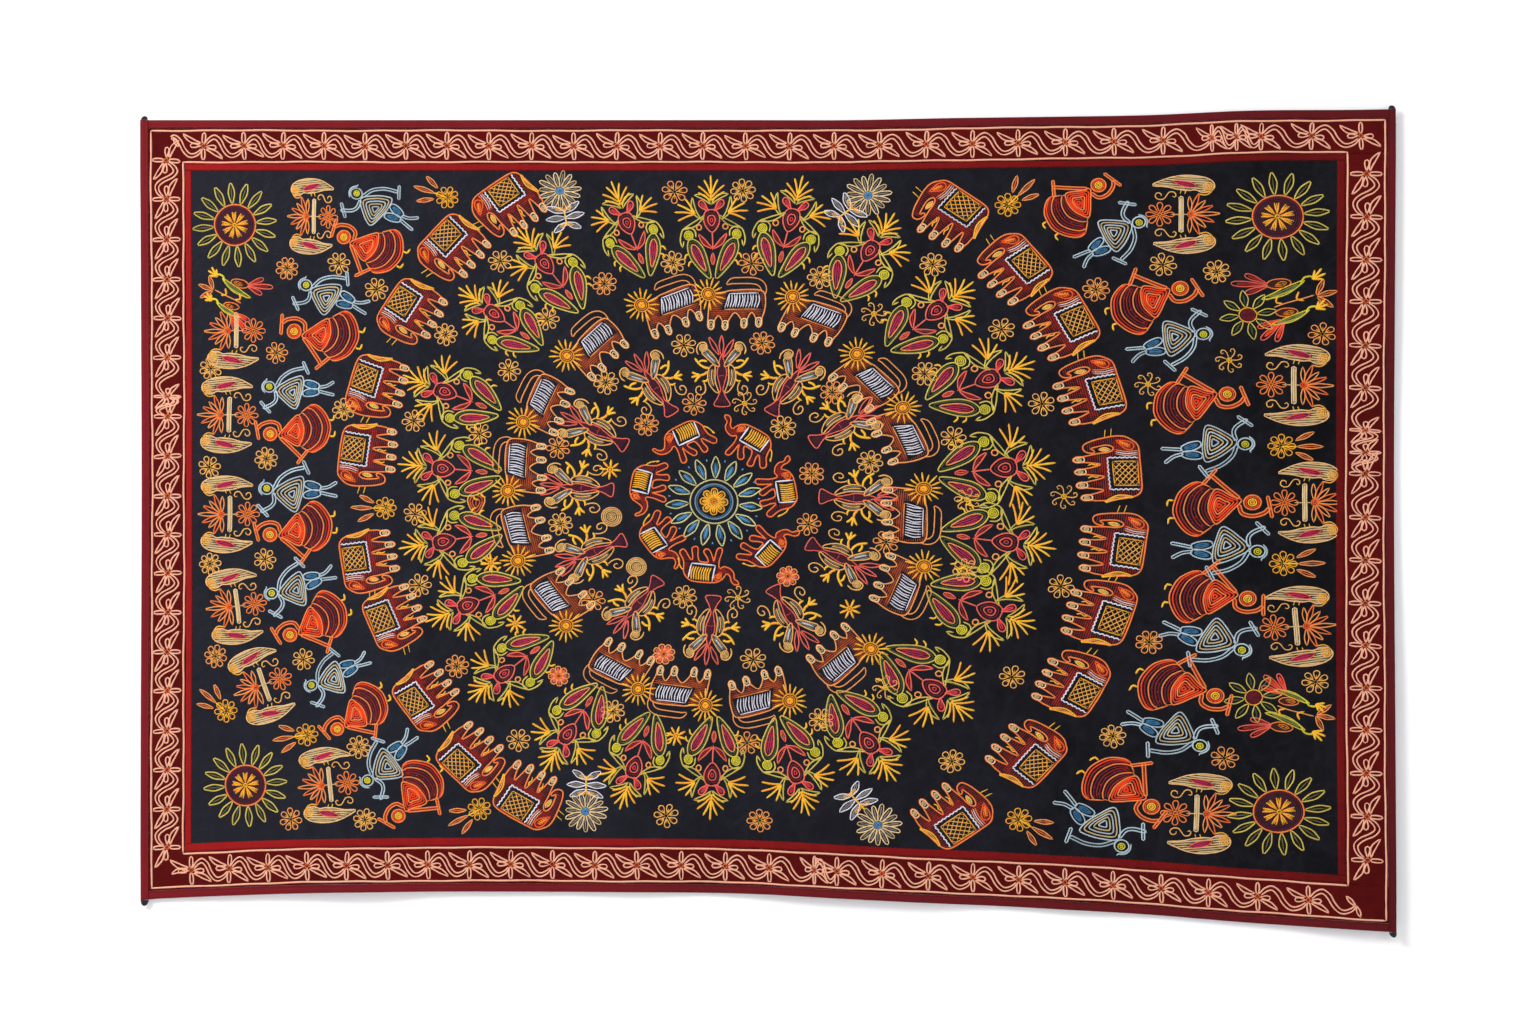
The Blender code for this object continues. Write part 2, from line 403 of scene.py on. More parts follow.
def cloth_panel(name, slot, material, edges, cell, thickness):
    """A cut of cloth between four edges of the flat cloth, hung, with a front, a back and a rim."""
    left, right, top, low = edges
    count_x, count_z = (math.ceil(abs(b - a) / cell) + 1 for a, b in ((left, right), (top, low)))
    across, down = np.meshgrid(np.linspace(left, right, count_x), np.linspace(top, low, count_z))
    x, z = on_wall(across, down)
    y = surface(x, z)
    layers = [np.stack([x, y + d, z], -1).reshape(-1, 3) for d in (-thickness / 2, thickness / 2)]
    index = np.arange(count_x * count_z).reshape(count_z, count_x)
    quad = [index[:-1, :-1], index[1:, :-1], index[1:, 1:], index[:-1, 1:]]
    front = np.stack([q.ravel() for q in quad], -1)
    rim = np.concatenate([index[0, :-1], index[:-1, -1], index[-1, :0:-1], index[:0:-1, 0]])
    after = np.roll(rim, -1)
    shift = count_x * count_z
    sides = np.stack([rim, after, after + shift, rim + shift], -1)
    faces = np.concatenate([front, front[:, ::-1] + shift, sides])
    piece = piece_from(f"cloth_{name}", np.concatenate(layers), faces.tolist(), material)
    return ride_on_cloth(piece, slot, [name])


def cloth_strip(name, slot, material, side, outer, width, section, ends, cell):
    """A long narrow cloth: its section is carried along one side, from end to end."""
    section = np.array(section)
    start, end = ends
    along = np.linspace(start, end, math.ceil((end - start) / cell) + 1)[:, None]
    inwards = outer + section[:, 0] * width
    level = side in ("top", "bottom")
    inwards = inwards if side in ("top", "left") else (FLAT_HEIGHT if level else HALF_WIDTH) - inwards
    if side == "left":
        inwards = inwards - HALF_WIDTH
    along, inwards = np.broadcast_arrays(along, inwards[None, :])
    x, z = on_wall(along, inwards) if level else on_wall(inwards, along)
    y = surface(x, z) + section[:, 1]
    points = np.stack([x, y, z], -1).reshape(-1, 3)
    rings, around = x.shape
    index = np.arange(rings * around).reshape(rings, around)
    ahead = np.roll(index, -1, 1)
    quads = np.stack([index[:-1], ahead[:-1], ahead[1:], index[1:]], -1).reshape(-1, 4)
    faces = quads.tolist() + [index[0, ::-1].tolist(), index[-1].tolist()]
    piece = piece_from(f"cloth_{name}", points, faces, material)
    turn_outwards(piece)
    return ride_on_cloth(piece, slot, [name])


def turn_outwards(piece):
    work = bmesh.new()
    work.from_mesh(piece.data)
    bmesh.ops.recalc_face_normals(work, faces=work.faces)
    work.to_mesh(piece.data)
    work.free()


def run_of(piece, side):
    """Where a strip starts and ends, stopping short of the strips that pass its ends."""
    level = side in ("top", "bottom")
    passed_by = {
        "binding": ((BINDING,), ()),
        "border": ((BINDING,), (BINDING, BAND)),
        "strip": ((BINDING, BAND), (BINDING, BAND, STRIP)),
    }[piece][0 if level else 1]
    start, end = (-HALF_WIDTH, HALF_WIDTH) if level else (0, FLAT_HEIGHT)
    first, last = ("left", "right") if level else ("top", "bottom")
    if passed_by:
        start += sum(widths[first] for widths in passed_by) + GAP / 2
        end -= sum(widths[last] for widths in passed_by) + GAP / 2
    return start, end


BINDING_SECTION = (
    # share of the width inwards, depth in millimetres; the front comes first
    (0.00, 0.7), (0.02, -0.1), (0.08, -0.75), (0.20, -1.25), (0.40, -1.40), (0.60, -1.22),
    (0.72, -0.98), (0.80, -1.05), (0.86, -1.62), (0.91, -1.75), (0.96, -1.35), (0.985, -0.4),
    (0.985, 1.2), (0.6, 1.2), (0.1, 1.2), (0.01, 1.15),
)
BAND_SECTION = (
    (0.003, -0.1), (0.02, -0.65), (0.05, -0.9), (0.35, -0.95), (0.65, -0.95), (0.95, -0.9),
    (0.98, -0.65), (0.997, -0.1), (0.997, 0.9), (0.5, 0.9), (0.003, 0.9),
)
STRIP_SECTION = (
    (0.02, 0.1), (0.06, -0.75), (0.18, -1.35), (0.36, -1.55), (0.50, -1.25), (0.64, -1.45),
    (0.82, -1.25), (0.94, -0.75), (0.98, 0.1), (0.98, 0.9), (0.5, 0.9), (0.02, 0.9),
)


def in_metres(section):
    return [(share, depth / 1000) for share, depth in section]


PANEL_CELL, PANEL_THICKNESS, STRIP_CELL = 0.0062, 0.0016, 0.008


def add_cloth():
    # The seventh value given to cotton() is painted light: the ground, the red strip and the binding are
    # painted lighter to the left. The ground's last value paints sheen, partly rub wear, along wrinkles.
    ground = cotton("black_cotton", linear(5, 5, 7), linear(29, 29, 37), 0.55, 0.7, 0.0, 0.5, 0.05, 0.2)
    red = cotton("red_cotton", linear(56, 4, 5), linear(142, 21, 22), 0.75, 0.5, 0.01, 0.45, 0.06)
    maroon = cotton("maroon_cotton", linear(50, 3, 4), linear(98, 12, 11), 0.8, 0.6, 0.01, specular=0.05)
    folded = cotton("folded_cotton", linear(60, 3, 8), linear(116, 15, 24), 0.65, 0.5, 0.02, 0.3, 0.12)
    inset = GAP / 2
    edges = (-HALF_WIDTH + border("left") + inset, HALF_WIDTH - border("right") - inset,
             border("top") + inset, FLAT_HEIGHT - border("bottom") - inset)
    panels = [cloth_panel("ground_panel", "ground_cloth", ground, edges, PANEL_CELL,
                          PANEL_THICKNESS)]
    for side in ("top", "bottom", "left", "right"):
        binding, band, strip = BINDING[side], BAND[side], STRIP[side]
        rows_of = (
            # piece, slot, material, distance in, width, section
            ("binding", "binding_cloth", folded, 0.0, binding, BINDING_SECTION),
            ("border", "border_cloth", maroon, binding, band, BAND_SECTION),
            ("strip", "strip_cloth", red, binding + band, strip, STRIP_SECTION),
        )
        for piece, slot, material, outer, width, section in rows_of:
            panels.append(cloth_strip(f"{piece}_{side}", slot, material, side, outer, width,
                                      in_metres(section), run_of(piece, side), STRIP_CELL))
    return panels


# Stitching, drawn in millimetres: across and up

COLOURS = {
    "orange": (228, 94, 40), "flame": (224, 66, 22), "ember": (186, 84, 44), "brick": (134, 29, 19),
    "rust": (146, 62, 28), "brown": (66, 30, 16), "apricot": (238, 132, 66), "vivid": (242, 122, 58),
    "peach": (230, 152, 84), "shell": (255, 192, 160), "salmon": (220, 100, 84), "rose": (196, 54, 64),
    "magenta": (168, 38, 78), "wine": (108, 18, 32), "maroon": (96, 16, 30), "plum": (66, 20, 38),
    "gold": (236, 168, 46), "yellow": (246, 192, 54), "amber": (242, 136, 44), "honey": (222, 164, 66),
    "straw": (228, 172, 94), "cream": (234, 204, 158), "sand": (190, 164, 118), "tan": (196, 158, 96),
    "citron": (196, 184, 48), "pale": (192, 174, 82), "olive": (108, 104, 44), "leaf": (54, 72, 40),
    "green": (106, 120, 54), "blue": (48, 104, 140), "sky": (92, 146, 190), "steel": (112, 128, 142),
    "mist": (166, 182, 190), "pearl": (190, 186, 132), "white": (214, 210, 220), "grey": (120, 116, 108),
    "black": (16, 14, 18), "wheat": (238, 192, 134),
}


def even(points, step):
    """The same line with a point about every step."""
    points = np.array(points, float)
    lengths = np.concatenate([[0], np.cumsum(np.hypot(*np.diff(points, axis=0).T))])
    at = np.linspace(0, lengths[-1], max(2, round(lengths[-1] / step) + 1))
    return np.stack([np.interp(at, lengths, points[:, i]) for i in (0, 1)], -1)


def curve(points, closed=False, step=2.4):
    """A smooth line through the points."""
    p = np.array(points, float)
    if closed:
        p = np.concatenate([p[-1:], p, p[:2]])
    else:
        p = np.concatenate([2 * p[:1] - p[1:2], p, 2 * p[-1:] - p[-2:-1]])
    a, b, c, d = p[:-3], p[1:-2], p[2:-1], p[3:]
    t = (np.arange(10) / 10)[:, None, None]
    bend = (2 * a - 5 * b + 4 * c - d) * t ** 2 + (3 * b - a - 3 * c + d) * t ** 3
    smooth = (b + 0.5 * ((c - a) * t + bend)).transpose(1, 0, 2).reshape(-1, 2)
    return even(np.concatenate([smooth, p[-2:-1]]), step)


def outline(points, step=2.4):
    """A smooth closed line through the points."""
    return curve(points, True, step)


def corners(points):
    """A closed line with sharp corners."""
    points = np.array(points, float)
    return np.concatenate([points, points[:1]])


def spaced(points, count):
    """The same line with a given number of points."""
    at = np.linspace(0, 1, len(points))
    return np.stack([np.interp(np.linspace(0, 1, count), at, points[:, k]) for k in (0, 1)], -1)


def offset(points, distance):
    """A line beside another at an even distance."""
    way = np.gradient(points, axis=0)
    way /= np.maximum(np.hypot(*way.T), 1e-9)[:, None]
    return points + np.stack([-way[:, 1], way[:, 0]], -1) * distance


def turned(points, degrees, about=(0.0, 0.0), size=1.0):
    c, s = math.cos(math.radians(degrees)) * size, math.sin(math.radians(degrees)) * size
    x, y = np.array(points, float).T
    return np.stack([x * c - y * s + about[0], x * s + y * c + about[1]], -1)


def towards(degrees):
    """A step of 1 mm in a direction, counted from across and turning upwards."""
    return np.array([math.cos(math.radians(degrees)), math.sin(math.radians(degrees))])


# Half widths of a leaf or petal at shares of its length
LENS = ((0.28, 0.36), (0.55, 0.50), (0.86, 0.25))
LOOP = ((0.24, 0.20), (0.60, 0.47), (0.90, 0.40))
DROP = ((0.14, 0.40), (0.40, 0.52), (0.80, 0.28))
SLIM = ((0.10, 0.34), (0.50, 0.48), (0.90, 0.34))


class Work:
    """The stitching of one motif. Each thread is a line with its colour, width and lift."""

    def __init__(self, thread=2.4):
        self.threads = []
        self.thread = thread

    def run(self, colour, points, width=None, lift=0.0):
        """One line of stitches along points that are already close together."""
        self.threads.append((np.array(points, float), colour, width or self.thread, lift))

    def line(self, colour, points, width=None, lift=0.0):
        self.run(colour, curve(points), width, lift)

    def straight(self, colour, points, width=None, lift=0.0):
        """Straight runs of stitches from corner to corner."""
        for start, end in zip(points, points[1:]):
            self.run(colour, even([start, end], 5.0), width, lift)

    def ring(self, colour, centre, radius, width=None, lift=0.0, tall=None):
        turn = np.linspace(0, 2 * math.pi, max(8, round(2 * math.pi * radius / 2.2)) + 1)
        points = [radius * np.cos(turn) + centre[0], (tall or radius) * np.sin(turn) + centre[1]]
        points = np.stack(points, -1)
        points[-1] = points[0]
        self.run(colour, points, width, lift)

    def disc(self, colour, centre, radius, width=None, lift=0.0):
        """Rings inside rings until the disc is full."""
        pitch = (width or self.thread) * 0.92
        while radius > pitch * 0.8:
            self.ring(colour, centre, radius - pitch / 2, width, lift)
            radius -= pitch
        if radius > pitch * 0.3:
            self.run(colour, [(centre[0] - 0.5, centre[1]), (centre[0] + 0.5, centre[1])], width, lift)

    def fill(self, colour, outlines, turn=0.0, pitch=None, inset=1.0, between=(-999, 999), lift=-0.2):
        """Rows of stitches inside closed lines. A line inside another leaves a hole."""
        pitch = pitch or self.thread
        flat = [turned(line, -turn) for line in outlines]
        x0, y0 = np.concatenate([f[:-1] for f in flat]).T
        x1, y1 = np.concatenate([f[1:] for f in flat]).T
        low, high = max(y0.min(), between[0]), min(y0.max(), between[1])
        count = max(1, round((high - low - inset) / pitch))
        for level in low + inset / 2 + (np.arange(count) + 0.5) * (high - low - inset) / count:
            met = (y0 <= level) != (y1 <= level)
            cuts = np.sort(x0[met] + (level - y0[met]) * (x1[met] - x0[met]) / (y1[met] - y0[met]))
            for start, end in zip(cuts[::2], cuts[1::2]):
                if end - start > 2 * inset + 0.6:
                    row = even([(start + inset, level), (end - inset, level)], 6.0)
                    self.run(colour, turned(row, turn), pitch * 1.06, lift)

    def leaf(self, colour, base, tip, width, inside=None, shape=LENS, bend=0.0):
        """A loop from base to tip and back, with rows of another colour inside."""
        base, tip = np.array(base, float), np.array(tip, float)
        way = tip - base
        side = np.array([-way[1], way[0]]) / max(np.hypot(*way), 1e-6)

        def at(share, out):
            """A place on the leaf: its share of the length, and how far out."""
            bow = np.array([-way[1], way[0]]) * bend * 4 * share * (1 - share)
            return base + way * share + side * width * out + bow

        room = width - self.thread * 1.6
        rows = max(1, round(room / 2.0)) if inside else 0
        for row in range(rows):
            out = ((row + 0.5) / rows - 0.5) * room / width if rows > 1 else 0.0
            inner = [at(0.16, out * 0.3), at(shape[1][0], out), at(0.84, out * 0.4)]
            self.line(inside, inner, 2.1, -0.2)
        loop = [at(0, 0), *(at(s, w) for s, w in shape), at(1, 0),
                *(at(s, -w) for s, w in reversed(shape))]
        self.run(colour, outline(loop))

    def band(self, colour, points, width, inside=None):
        """A limb or stick: one thread up one side of a line and down the other, filled or not."""
        middle = curve(points)
        beside = [offset(middle, (width - self.thread) / 2 * sign) for sign in (1, -1)]
        ends = [middle[0] - (middle[1] - middle[0]) * 0.5, middle[-1] + (middle[-1] - middle[-2]) * 0.5]
        self.run(colour, np.concatenate([ends[:1], beside[0], ends[1:], beside[1][::-1], ends[:1]]))
        if inside:
            self.run(inside, middle, max(1.4, width - self.thread * 1.2), -0.3)

    def petals(self, colour, centre, inner, outer, width, count, inside=None):
        """Petals set round a centre."""
        for i in range(count):
            way = towards(90.0 + i * (360.0 / count))
            self.leaf(colour, way * inner + centre, way * outer + centre, width, inside, LOOP)

    def spray(self, colour, base, tips, width, bow):
        """Bowed lines that fan out from one place."""
        for tip in tips:
            middle = ((base[0] + tip[0]) / 2 + bow[0], (base[1] + tip[1]) / 2 + bow[1])
            self.line(colour, [base, middle, tip], width)

    def both_sides(self, draw):
        """Draws something and its mirror image."""
        first = len(self.threads)
        draw()
        for points, colour, width, lift in self.threads[first:]:
            self.threads.append((points * (-1, 1), colour, width, lift))

    def scaled(self, wide, tall):
        """The same stitching drawn wider or taller. A size below 0 mirrors it."""
        other = Work(self.thread)
        other.threads = [(points * (wide, tall), *rest) for points, *rest in self.threads]
        return other

    def add(self, other, across=0.0, up=0.0, turn=0.0):
        """Takes in the threads of another motif."""
        for points, colour, width, lift in other.threads:
            self.run(colour, turned(points, turn, (across, up)), width, lift)


# Turning lines of stitches into thread

# The motifs grow towards the right, as in the photo: by these shares over each metre
GROWTH = (0.20, 0.045)
LEFT_MOTIFS = -0.640
# How far a hand strays: in degrees, as a share of the size, and in millimetres along a line
TURN_SLIP, SIZE_SLIP, WOBBLE = 1.6, 0.016, 0.45
# How a thread lies, as shares of its width, and how far it sinks into the cloth, in metres
THREAD_RISE = 0.34
BLUNT_END = 0.62
THREAD_FULL = 0.93
SUNK = 0.0001
# Its dye: how much it is lightened, up to what, and how much it differs from run to run
THREAD_GAIN, BRIGHTEST, DYE_SPREAD = 1.3, 0.97, 0.07
# How far the front of the ground and of the bands stands before the middle of the cloth
GROUND_FRONT, BAND_FRONT = 0.0008, 0.00095


def stretch_at(across):
    """How wide and how tall a motif is at a place in metres, against those at the left."""
    return tuple(1 + share * (across - LEFT_MOTIFS) for share in GROWTH)


class Stitching:
    """Threads gathered for one piece, with their place on the cloth in metres."""

    def __init__(self, name, slot, material, front=GROUND_FRONT):
        self.name, self.slot, self.material, self.front = name, slot, material, front
        self.lines = []

    def lay(self, work, across, up, turn=0.0, size=1.0, flip=False, uneven=0.6, wide=1.0):
        """Sets a motif down at a place in millimetres, as a hand would: never twice quite alike."""
        turn += RANDOM.normal(0, TURN_SLIP) * uneven
        size *= 1 + RANDOM.normal(0, SIZE_SLIP) * uneven
        phase = RANDOM.uniform(0, 6.28, 4)
        for points, colour, width, lift in work.threads:
            points = points * (-wide if flip else wide, 1)
            x, y = points.T
            wobble = [np.sin(y / 11 + phase[0]) + np.sin(x / 7 + phase[1]),
                      np.sin(x / 12 + phase[2]) + np.sin(y / 8 + phase[3])]
            points = turned(points + WOBBLE * uneven * np.stack(wobble, -1), turn, (0, 0), size)
            points = points * stretch_at(across / 1000) + (across, up)
            self.lines.append((points / 1000, colour, width, lift))

    def along_side(self, work, mapping):
        """Sets stitching down by a mapping from its own places to places on the flat cloth."""
        for points, colour, width, lift in work.threads:
            across, down = mapping(points)
            x, z = on_wall(across, down)
            self.lines.append((np.stack([x, z], -1), colour, width, lift))

    def make(self):
        """Builds the piece: each thread is a low three-sided cord that lies along the cloth."""
        flat, rises, tones, places, quads, ends = [], [], [], [], [], []
        first = 0
        for line, colour, width, lift in self.lines:
            n, width = len(line), width * THREAD_FULL
            closed = n > 3 and np.hypot(*(line[0] - line[-1])) < 1e-6
            way = np.gradient(line, axis=0)
            if closed:
                way[0] = way[-1] = line[1] - line[-2]
            way /= np.maximum(np.hypot(*way.T), 1e-9)[:, None]
            taper = np.ones(n)
            if not closed:
                taper[0] = taper[-1] = BLUNT_END
            side = np.stack([-way[:, 1], way[:, 0]], -1) * (width / 2000 * taper)[:, None]
            flat += [line + side, line, line - side]
            top = (THREAD_RISE * width + lift) / 1000 * taper
            rises += [np.zeros(n), top, np.zeros(n)]
            tone = np.array(linear(*COLOURS[colour])) * (1 + RANDOM.normal(0, DYE_SPREAD))
            tone *= min(THREAD_GAIN, BRIGHTEST / tone.max())
            tones.append(np.tile([*tone, 1.0], (3 * n, 1)))
            steps = np.hypot(*np.diff(line, axis=0).T)
            length = np.concatenate([[0], np.cumsum(steps)]) / LINK + RANDOM.uniform(0, 1)
            places.append(np.stack([np.repeat([0.0, 0.5, 1.0], n), np.tile(length, 3)], -1))
            left = first + np.arange(n)
            middle, right = left + n, left + 2 * n
            for a, b in ((left, middle), (middle, right), (right, left)):
                quads.append(np.stack([a[:-1], a[1:], b[1:], b[:-1]], -1))
            ends += [[left[0], middle[0], right[0]], [right[-1], middle[-1], left[-1]]]
            first += 3 * n
        x, z = np.concatenate(flat).T
        points = np.stack([x, surface(x, z) - self.front + SUNK - np.concatenate(rises), z], -1)
        quads, ends = np.concatenate(quads), np.array(ends)
        piece = mesh_from_arrays(self.name, points, quads, ends, self.material)
        colour = piece.data.attributes.new("thread", "FLOAT_COLOR", "POINT")
        colour.data.foreach_set("color", np.concatenate(tones).ravel())
        chart = piece.data.uv_layers.new(name="stitch")
        around = np.zeros(len(piece.data.loops), int)
        piece.data.loops.foreach_get("vertex_index", around)
        chart.data.foreach_set("uv", np.concatenate(places)[around].ravel())
        print(f"{self.name}: {len(self.lines)} threads, {2 * len(quads) + len(ends)} triangles")
        return ride_on_cloth(piece, self.slot)


def mesh_from_arrays(name, points, quads, tris, material):
    mesh = bpy.data.meshes.new(name)
    mesh.vertices.add(len(points))
    mesh.vertices.foreach_set("co", points.ravel())
    around = np.concatenate([quads.ravel(), tris.ravel()]).astype(np.int32)
    mesh.loops.add(len(around))
    mesh.loops.foreach_set("vertex_index", around)
    mesh.polygons.add(len(quads) + len(tris))
    starts = np.concatenate([np.arange(len(quads)) * 4, quads.size + np.arange(len(tris)) * 3])
    mesh.polygons.foreach_set("loop_start", starts.astype(np.int32))
    mesh.update(calc_edges=True)
    mesh.materials.append(material)
    mesh.shade_smooth()
    piece = bpy.data.objects.new(name, mesh)
    bpy.context.scene.collection.objects.link(piece)
    return piece


# Motifs. Each is drawn once, about its own middle, with up towards the hanging's outside

def filler_flower(colour, count=8):
    """A flower of seven or eight open petals with yellow rays in it."""
    work = Work(1.75)
    work.petals(colour, (0, 0), 3.2, 13.4, 6.2, count)
    for i in range(count):
        way = towards(90 + 360 / count * i)
        work.run("brown", [way * 6, way * 11], 2.0, -0.2)
        work.run("yellow", [way * 1.5, way * 8.0], 1.9, 0.1)
    return work


def curled_flower():
    """Seven hooked curls round a yellow heart."""
    work = Work(1.7)
    for i in range(7):
        turn = 90 + 360 / 7 * i
        hook = [(2.4, 0), (7.5, -0.4), (11.6, 0.6), (13.2, 3.4), (11.4, 5.6), (9.0, 4.6), (9.4, 2.8)]
        work.run("straw", turned(curve(hook), turn))
        work.run("brown", turned([(4.0, 1.4), (9.0, 1.6)], turn), 1.8, -0.3)
    work.disc("yellow", (0, 0), 3.4, 1.8, 0.2)
    return work


def star():
    """Eight short thick rays."""
    work = Work(2.4)
    for i in range(8):
        way = towards(45 * i + 10)
        work.run("yellow" if i % 2 else "gold", [way * 2, way * 7, way * 11.5], 3.6)
    work.disc("gold", (0, 0), 4.0, lift=0.2)
    return work


def sprig():
    """Three thin leaves that fan out from a flower."""
    work = Work(1.8)
    for lean, reach in ((-27, 36), (0, 41), (26, 35)):
        way = towards(90 - lean)
        work.leaf("peach", way * 15, way * reach, 5.0, "ember")
    work.line("yellow", [(0, 0), (0, 16)], 2.4)
    return work


def coin():
    """A tan disc with a peach rim and a brown ring in it."""
    work = Work(2.2)
    work.disc("tan", (0, 0), 12.0, 2.2)
    work.ring("peach", (0, 0), 11.0, 2.0, 0.1)
    work.ring("brown", (0, 0), 5.4, 1.2, 0.3)
    return work


def drop_leaf():
    """A leaf inside a leaf inside a leaf."""
    work = Work(2.0)
    for size in (1.0, 0.72, 0.44):
        colour = "peach" if size > 0.9 else "ember"
        work.leaf(colour, (0, -13 * size), (0, 14 * size), 19 * size, shape=DROP)
    work.line("ember", [(0, -4), (0, 4)])
    return work


def corner_sun():
    """A disc of maroon with a yellow rosette, and sixteen green petals round it."""
    work = Work(2.1)
    for i in range(16):
        way, side = towards(96 + 22.5 * i), towards(96 + 22.5 * i + 11)
        work.leaf("pale", way * 26, way * 52, 7.8)
        work.run("olive", even([way * 30, way * 47], 5), 1.5, -0.1)
        work.run("maroon", [side * 50 - (0.7, 0), side * 50 + (0.7, 0)], 1.6)
    work.disc("plum", (0, 0), 24.0, 2.3, -0.3)
    work.ring("apricot", (0, 0), 25.0, 2.3)
    work.ring("wine", (0, 0), 22.8, 1.8)
    for i in range(9):
        turn = 40 * i + 12
        for lean in (7, -7):
            ray = [towards(turn) * 3, towards(turn + lean) * 10, towards(turn + lean * 1.1) * 16.5]
            work.run("gold", ray, 3.0, 0.3)
        work.run("yellow", [towards(turn) * 11, towards(turn) * 15.5], 2.4, 0.4)
    work.disc("yellow", (0, 0), 3.0, lift=0.4)
    return work


def middle_sun():
    """The blue flower at the middle of the rings, with a plain eight-petal rosette in it."""
    work = Work(2.1)
    for i in range(15):
        way, side = towards(90 + 24 * i), towards(102 + 24 * i)
        across = np.array([-way[1], way[0]])
        for shift in (-1.6, 0.0, 1.6):
            row = even([way * 31 + across * shift, way * 47 + across * shift], 5)
            work.run("sky" if shift == 0 else "blue", row, 2.1, -0.2)
        work.leaf("pearl", way * 28, way * 54, 9.6)
        work.run("sky", [side * 48.8, side * 51.2], 3.4)
    work.ring("pearl", (0, 0), 26.2, 2.3)
    work.ring("steel", (0, 0), 20.8, 2.3)
    work.ring("blue", (0, 0), 18.8, 1.6)
    work.petals("gold", (0, 0), 2.6, 15.6, 7.6, 8, "yellow")
    work.disc("amber", (0, 0), 2.8, lift=0.2)
    return work


def small_elephant(raised):
    """An elephant with its trunk out, high or low, its legs apart and a gold cloth on its back."""
    work = Work(2.1)
    high = [(-20, -4), (-25, -7), (-33, -5), (-38, 0), (-39.5, 7), (-44, 10), (-46, 14), (-41, 15.5),
            (-36.5, 11.5), (-34, 5), (-29, 2), (-27, 6)]
    low = [(-20, -5), (-24, -8.5), (-31, -10.5), (-39, -9), (-44, -4), (-46.5, 1.5), (-43.5, 2),
           (-40, -2.5), (-34, -4.5), (-30, -1), (-27, 5)]
    body = outline([(-24, 11), (-17, 15.5), (-9, 17), (2, 17.5), (14, 17), (21, 13), (26, 6), (27, -2),
                    (29, -10), (35, -19), (33.5, -24), (29, -24), (22, -15), (18, -11), (17.5, -17),
                    (20, -27), (17, -30.5), (12.5, -29.5), (11, -18), (8, -11), (2, -10), (-3, -11),
                    (-0.5, -17), (4.5, -24), (3, -28.5), (-2, -28), (-7.5, -18), (-10, -12),
                    (-10.5, -19), (-12, -30), (-16.5, -32.5), (-19, -29), (-17, -16), (-17.5, -7),
                    *(high if raised else low)], 1.9)
    saddle = corners([(-12.5, 16), (19, 16), (18, -8), (-13.5, -8)])
    work.fill("brick", [body, saddle], 0, 2.1, 1.9, (-9, 99))
    work.fill("wine", [body, saddle], 0, 2.1, 1.6, (-99, -9))
    work.run("vivid", body, 2.2)
    work.straight("white", [(-11.6, 15), (-12.8, -7.2), (17.4, -7), (19, 14)], 2.4, 0.1)
    for i in range(8):
        x = -7.0 + 3.1 * i
        work.line("gold" if i % 2 else "yellow", [(x - 0.8, -3.4), (x + 1.0, 5), (x + 0.2, 15)], 2.2)
    work.leaf("orange", (-22, 1), (-17, 13), 9.4, "amber", LOOP)
    work.line("yellow", [(26, 4), (31, 0), (34.5, -7), (35.5, -11)], 2.0)
    work.line("yellow", [(34, -8), (36.5, -12)], 2.8)
    return work


def vase():
    """A maroon vase with three leaves in it and a peacock on each side."""
    work = Work(1.9)
    for base, tip in (((-3, 21), (-15.5, 44)), ((0, 20), (1, 46)), ((2, 18), (17, 41))):
        work.leaf("salmon", base, tip, 5.8)
    shape = outline([(0, 21), (2.8, 14), (3.6, 9), (5.8, 2), (5.6, -5), (3.2, -14), (1.8, -20),
                     (1.6, -23), (5.4, -32), (10, -42), (-10, -42), (-5.4, -32), (-1.6, -23),
                     (-1.8, -20), (-3.2, -14), (-5.6, -5), (-5.8, 2), (-3.6, 9), (-2.8, 14)])
    work.fill("plum", [shape], 90, 2.3, 0.8)
    work.run("salmon", shape)
    work.line("rose", [(-4.2, -5), (0, -4), (4.2, -5)], 1.6, 0.2)

    def side():
        """One peacock, at the right of the vase."""
        wing = outline([(9, 8), (15.5, 6), (18.4, -4), (16, -15), (9, -24), (3.6, -26), (6.4, -18),
                        (8.8, -8)])
        work.run("straw", wing)
        for shift, colour in ((-2.6, "grey"), (0.2, "straw"), (2.8, "grey")):
            work.line(colour, [(12.4 + shift * 0.9, 3.6), (13.2 + shift, -6),
                               (10.2 + shift * 0.8, -17.5)], 1.8)
        chest = outline([(2.6, 7), (9, 8.5), (19, 17), (26, 24), (20, 29), (13, 24), (5, 13)])
        work.fill("grey", [chest], 42, 2.2, 2.0)
        work.run("straw", chest)
        work.line("white", [(9, 12.6), (15.5, 18.6), (20, 24)], 1.5, 0.1)
        work.disc("tan", (24, 30.0), 5.6, 1.9, 0.1)
        work.line("straw", [(18.0, 29), (20, 36), (26.5, 37), (31.4, 33), (33, 27), (31, 21.5)], 2.1)
        for points in ([(16, 5), (22, 5.4), (29, 9), (36, 17)], [(19, 13), (26, 14), (31, 12)]):
            work.line("yellow", points, 3.4)
        work.line("gold", [(18, 1), (23, -2.6), (29, -4)], 3.6)
        work.spray("yellow", (28, -4), ((40, 0), (41, -6), (36, -12)), 3.4, (1, 0))
        work.line("yellow", [(17.5, -8), (21, -11), (26, -11)], 3.0)
        work.line("straw", [(24, -12), (21.4, -18), (22, -25), (28, -29), (34, -25.5), (34, -19.5),
                            (29, -17.4), (27, -21), (29, -23)], 1.9)
    work.both_sides(side)
    return work


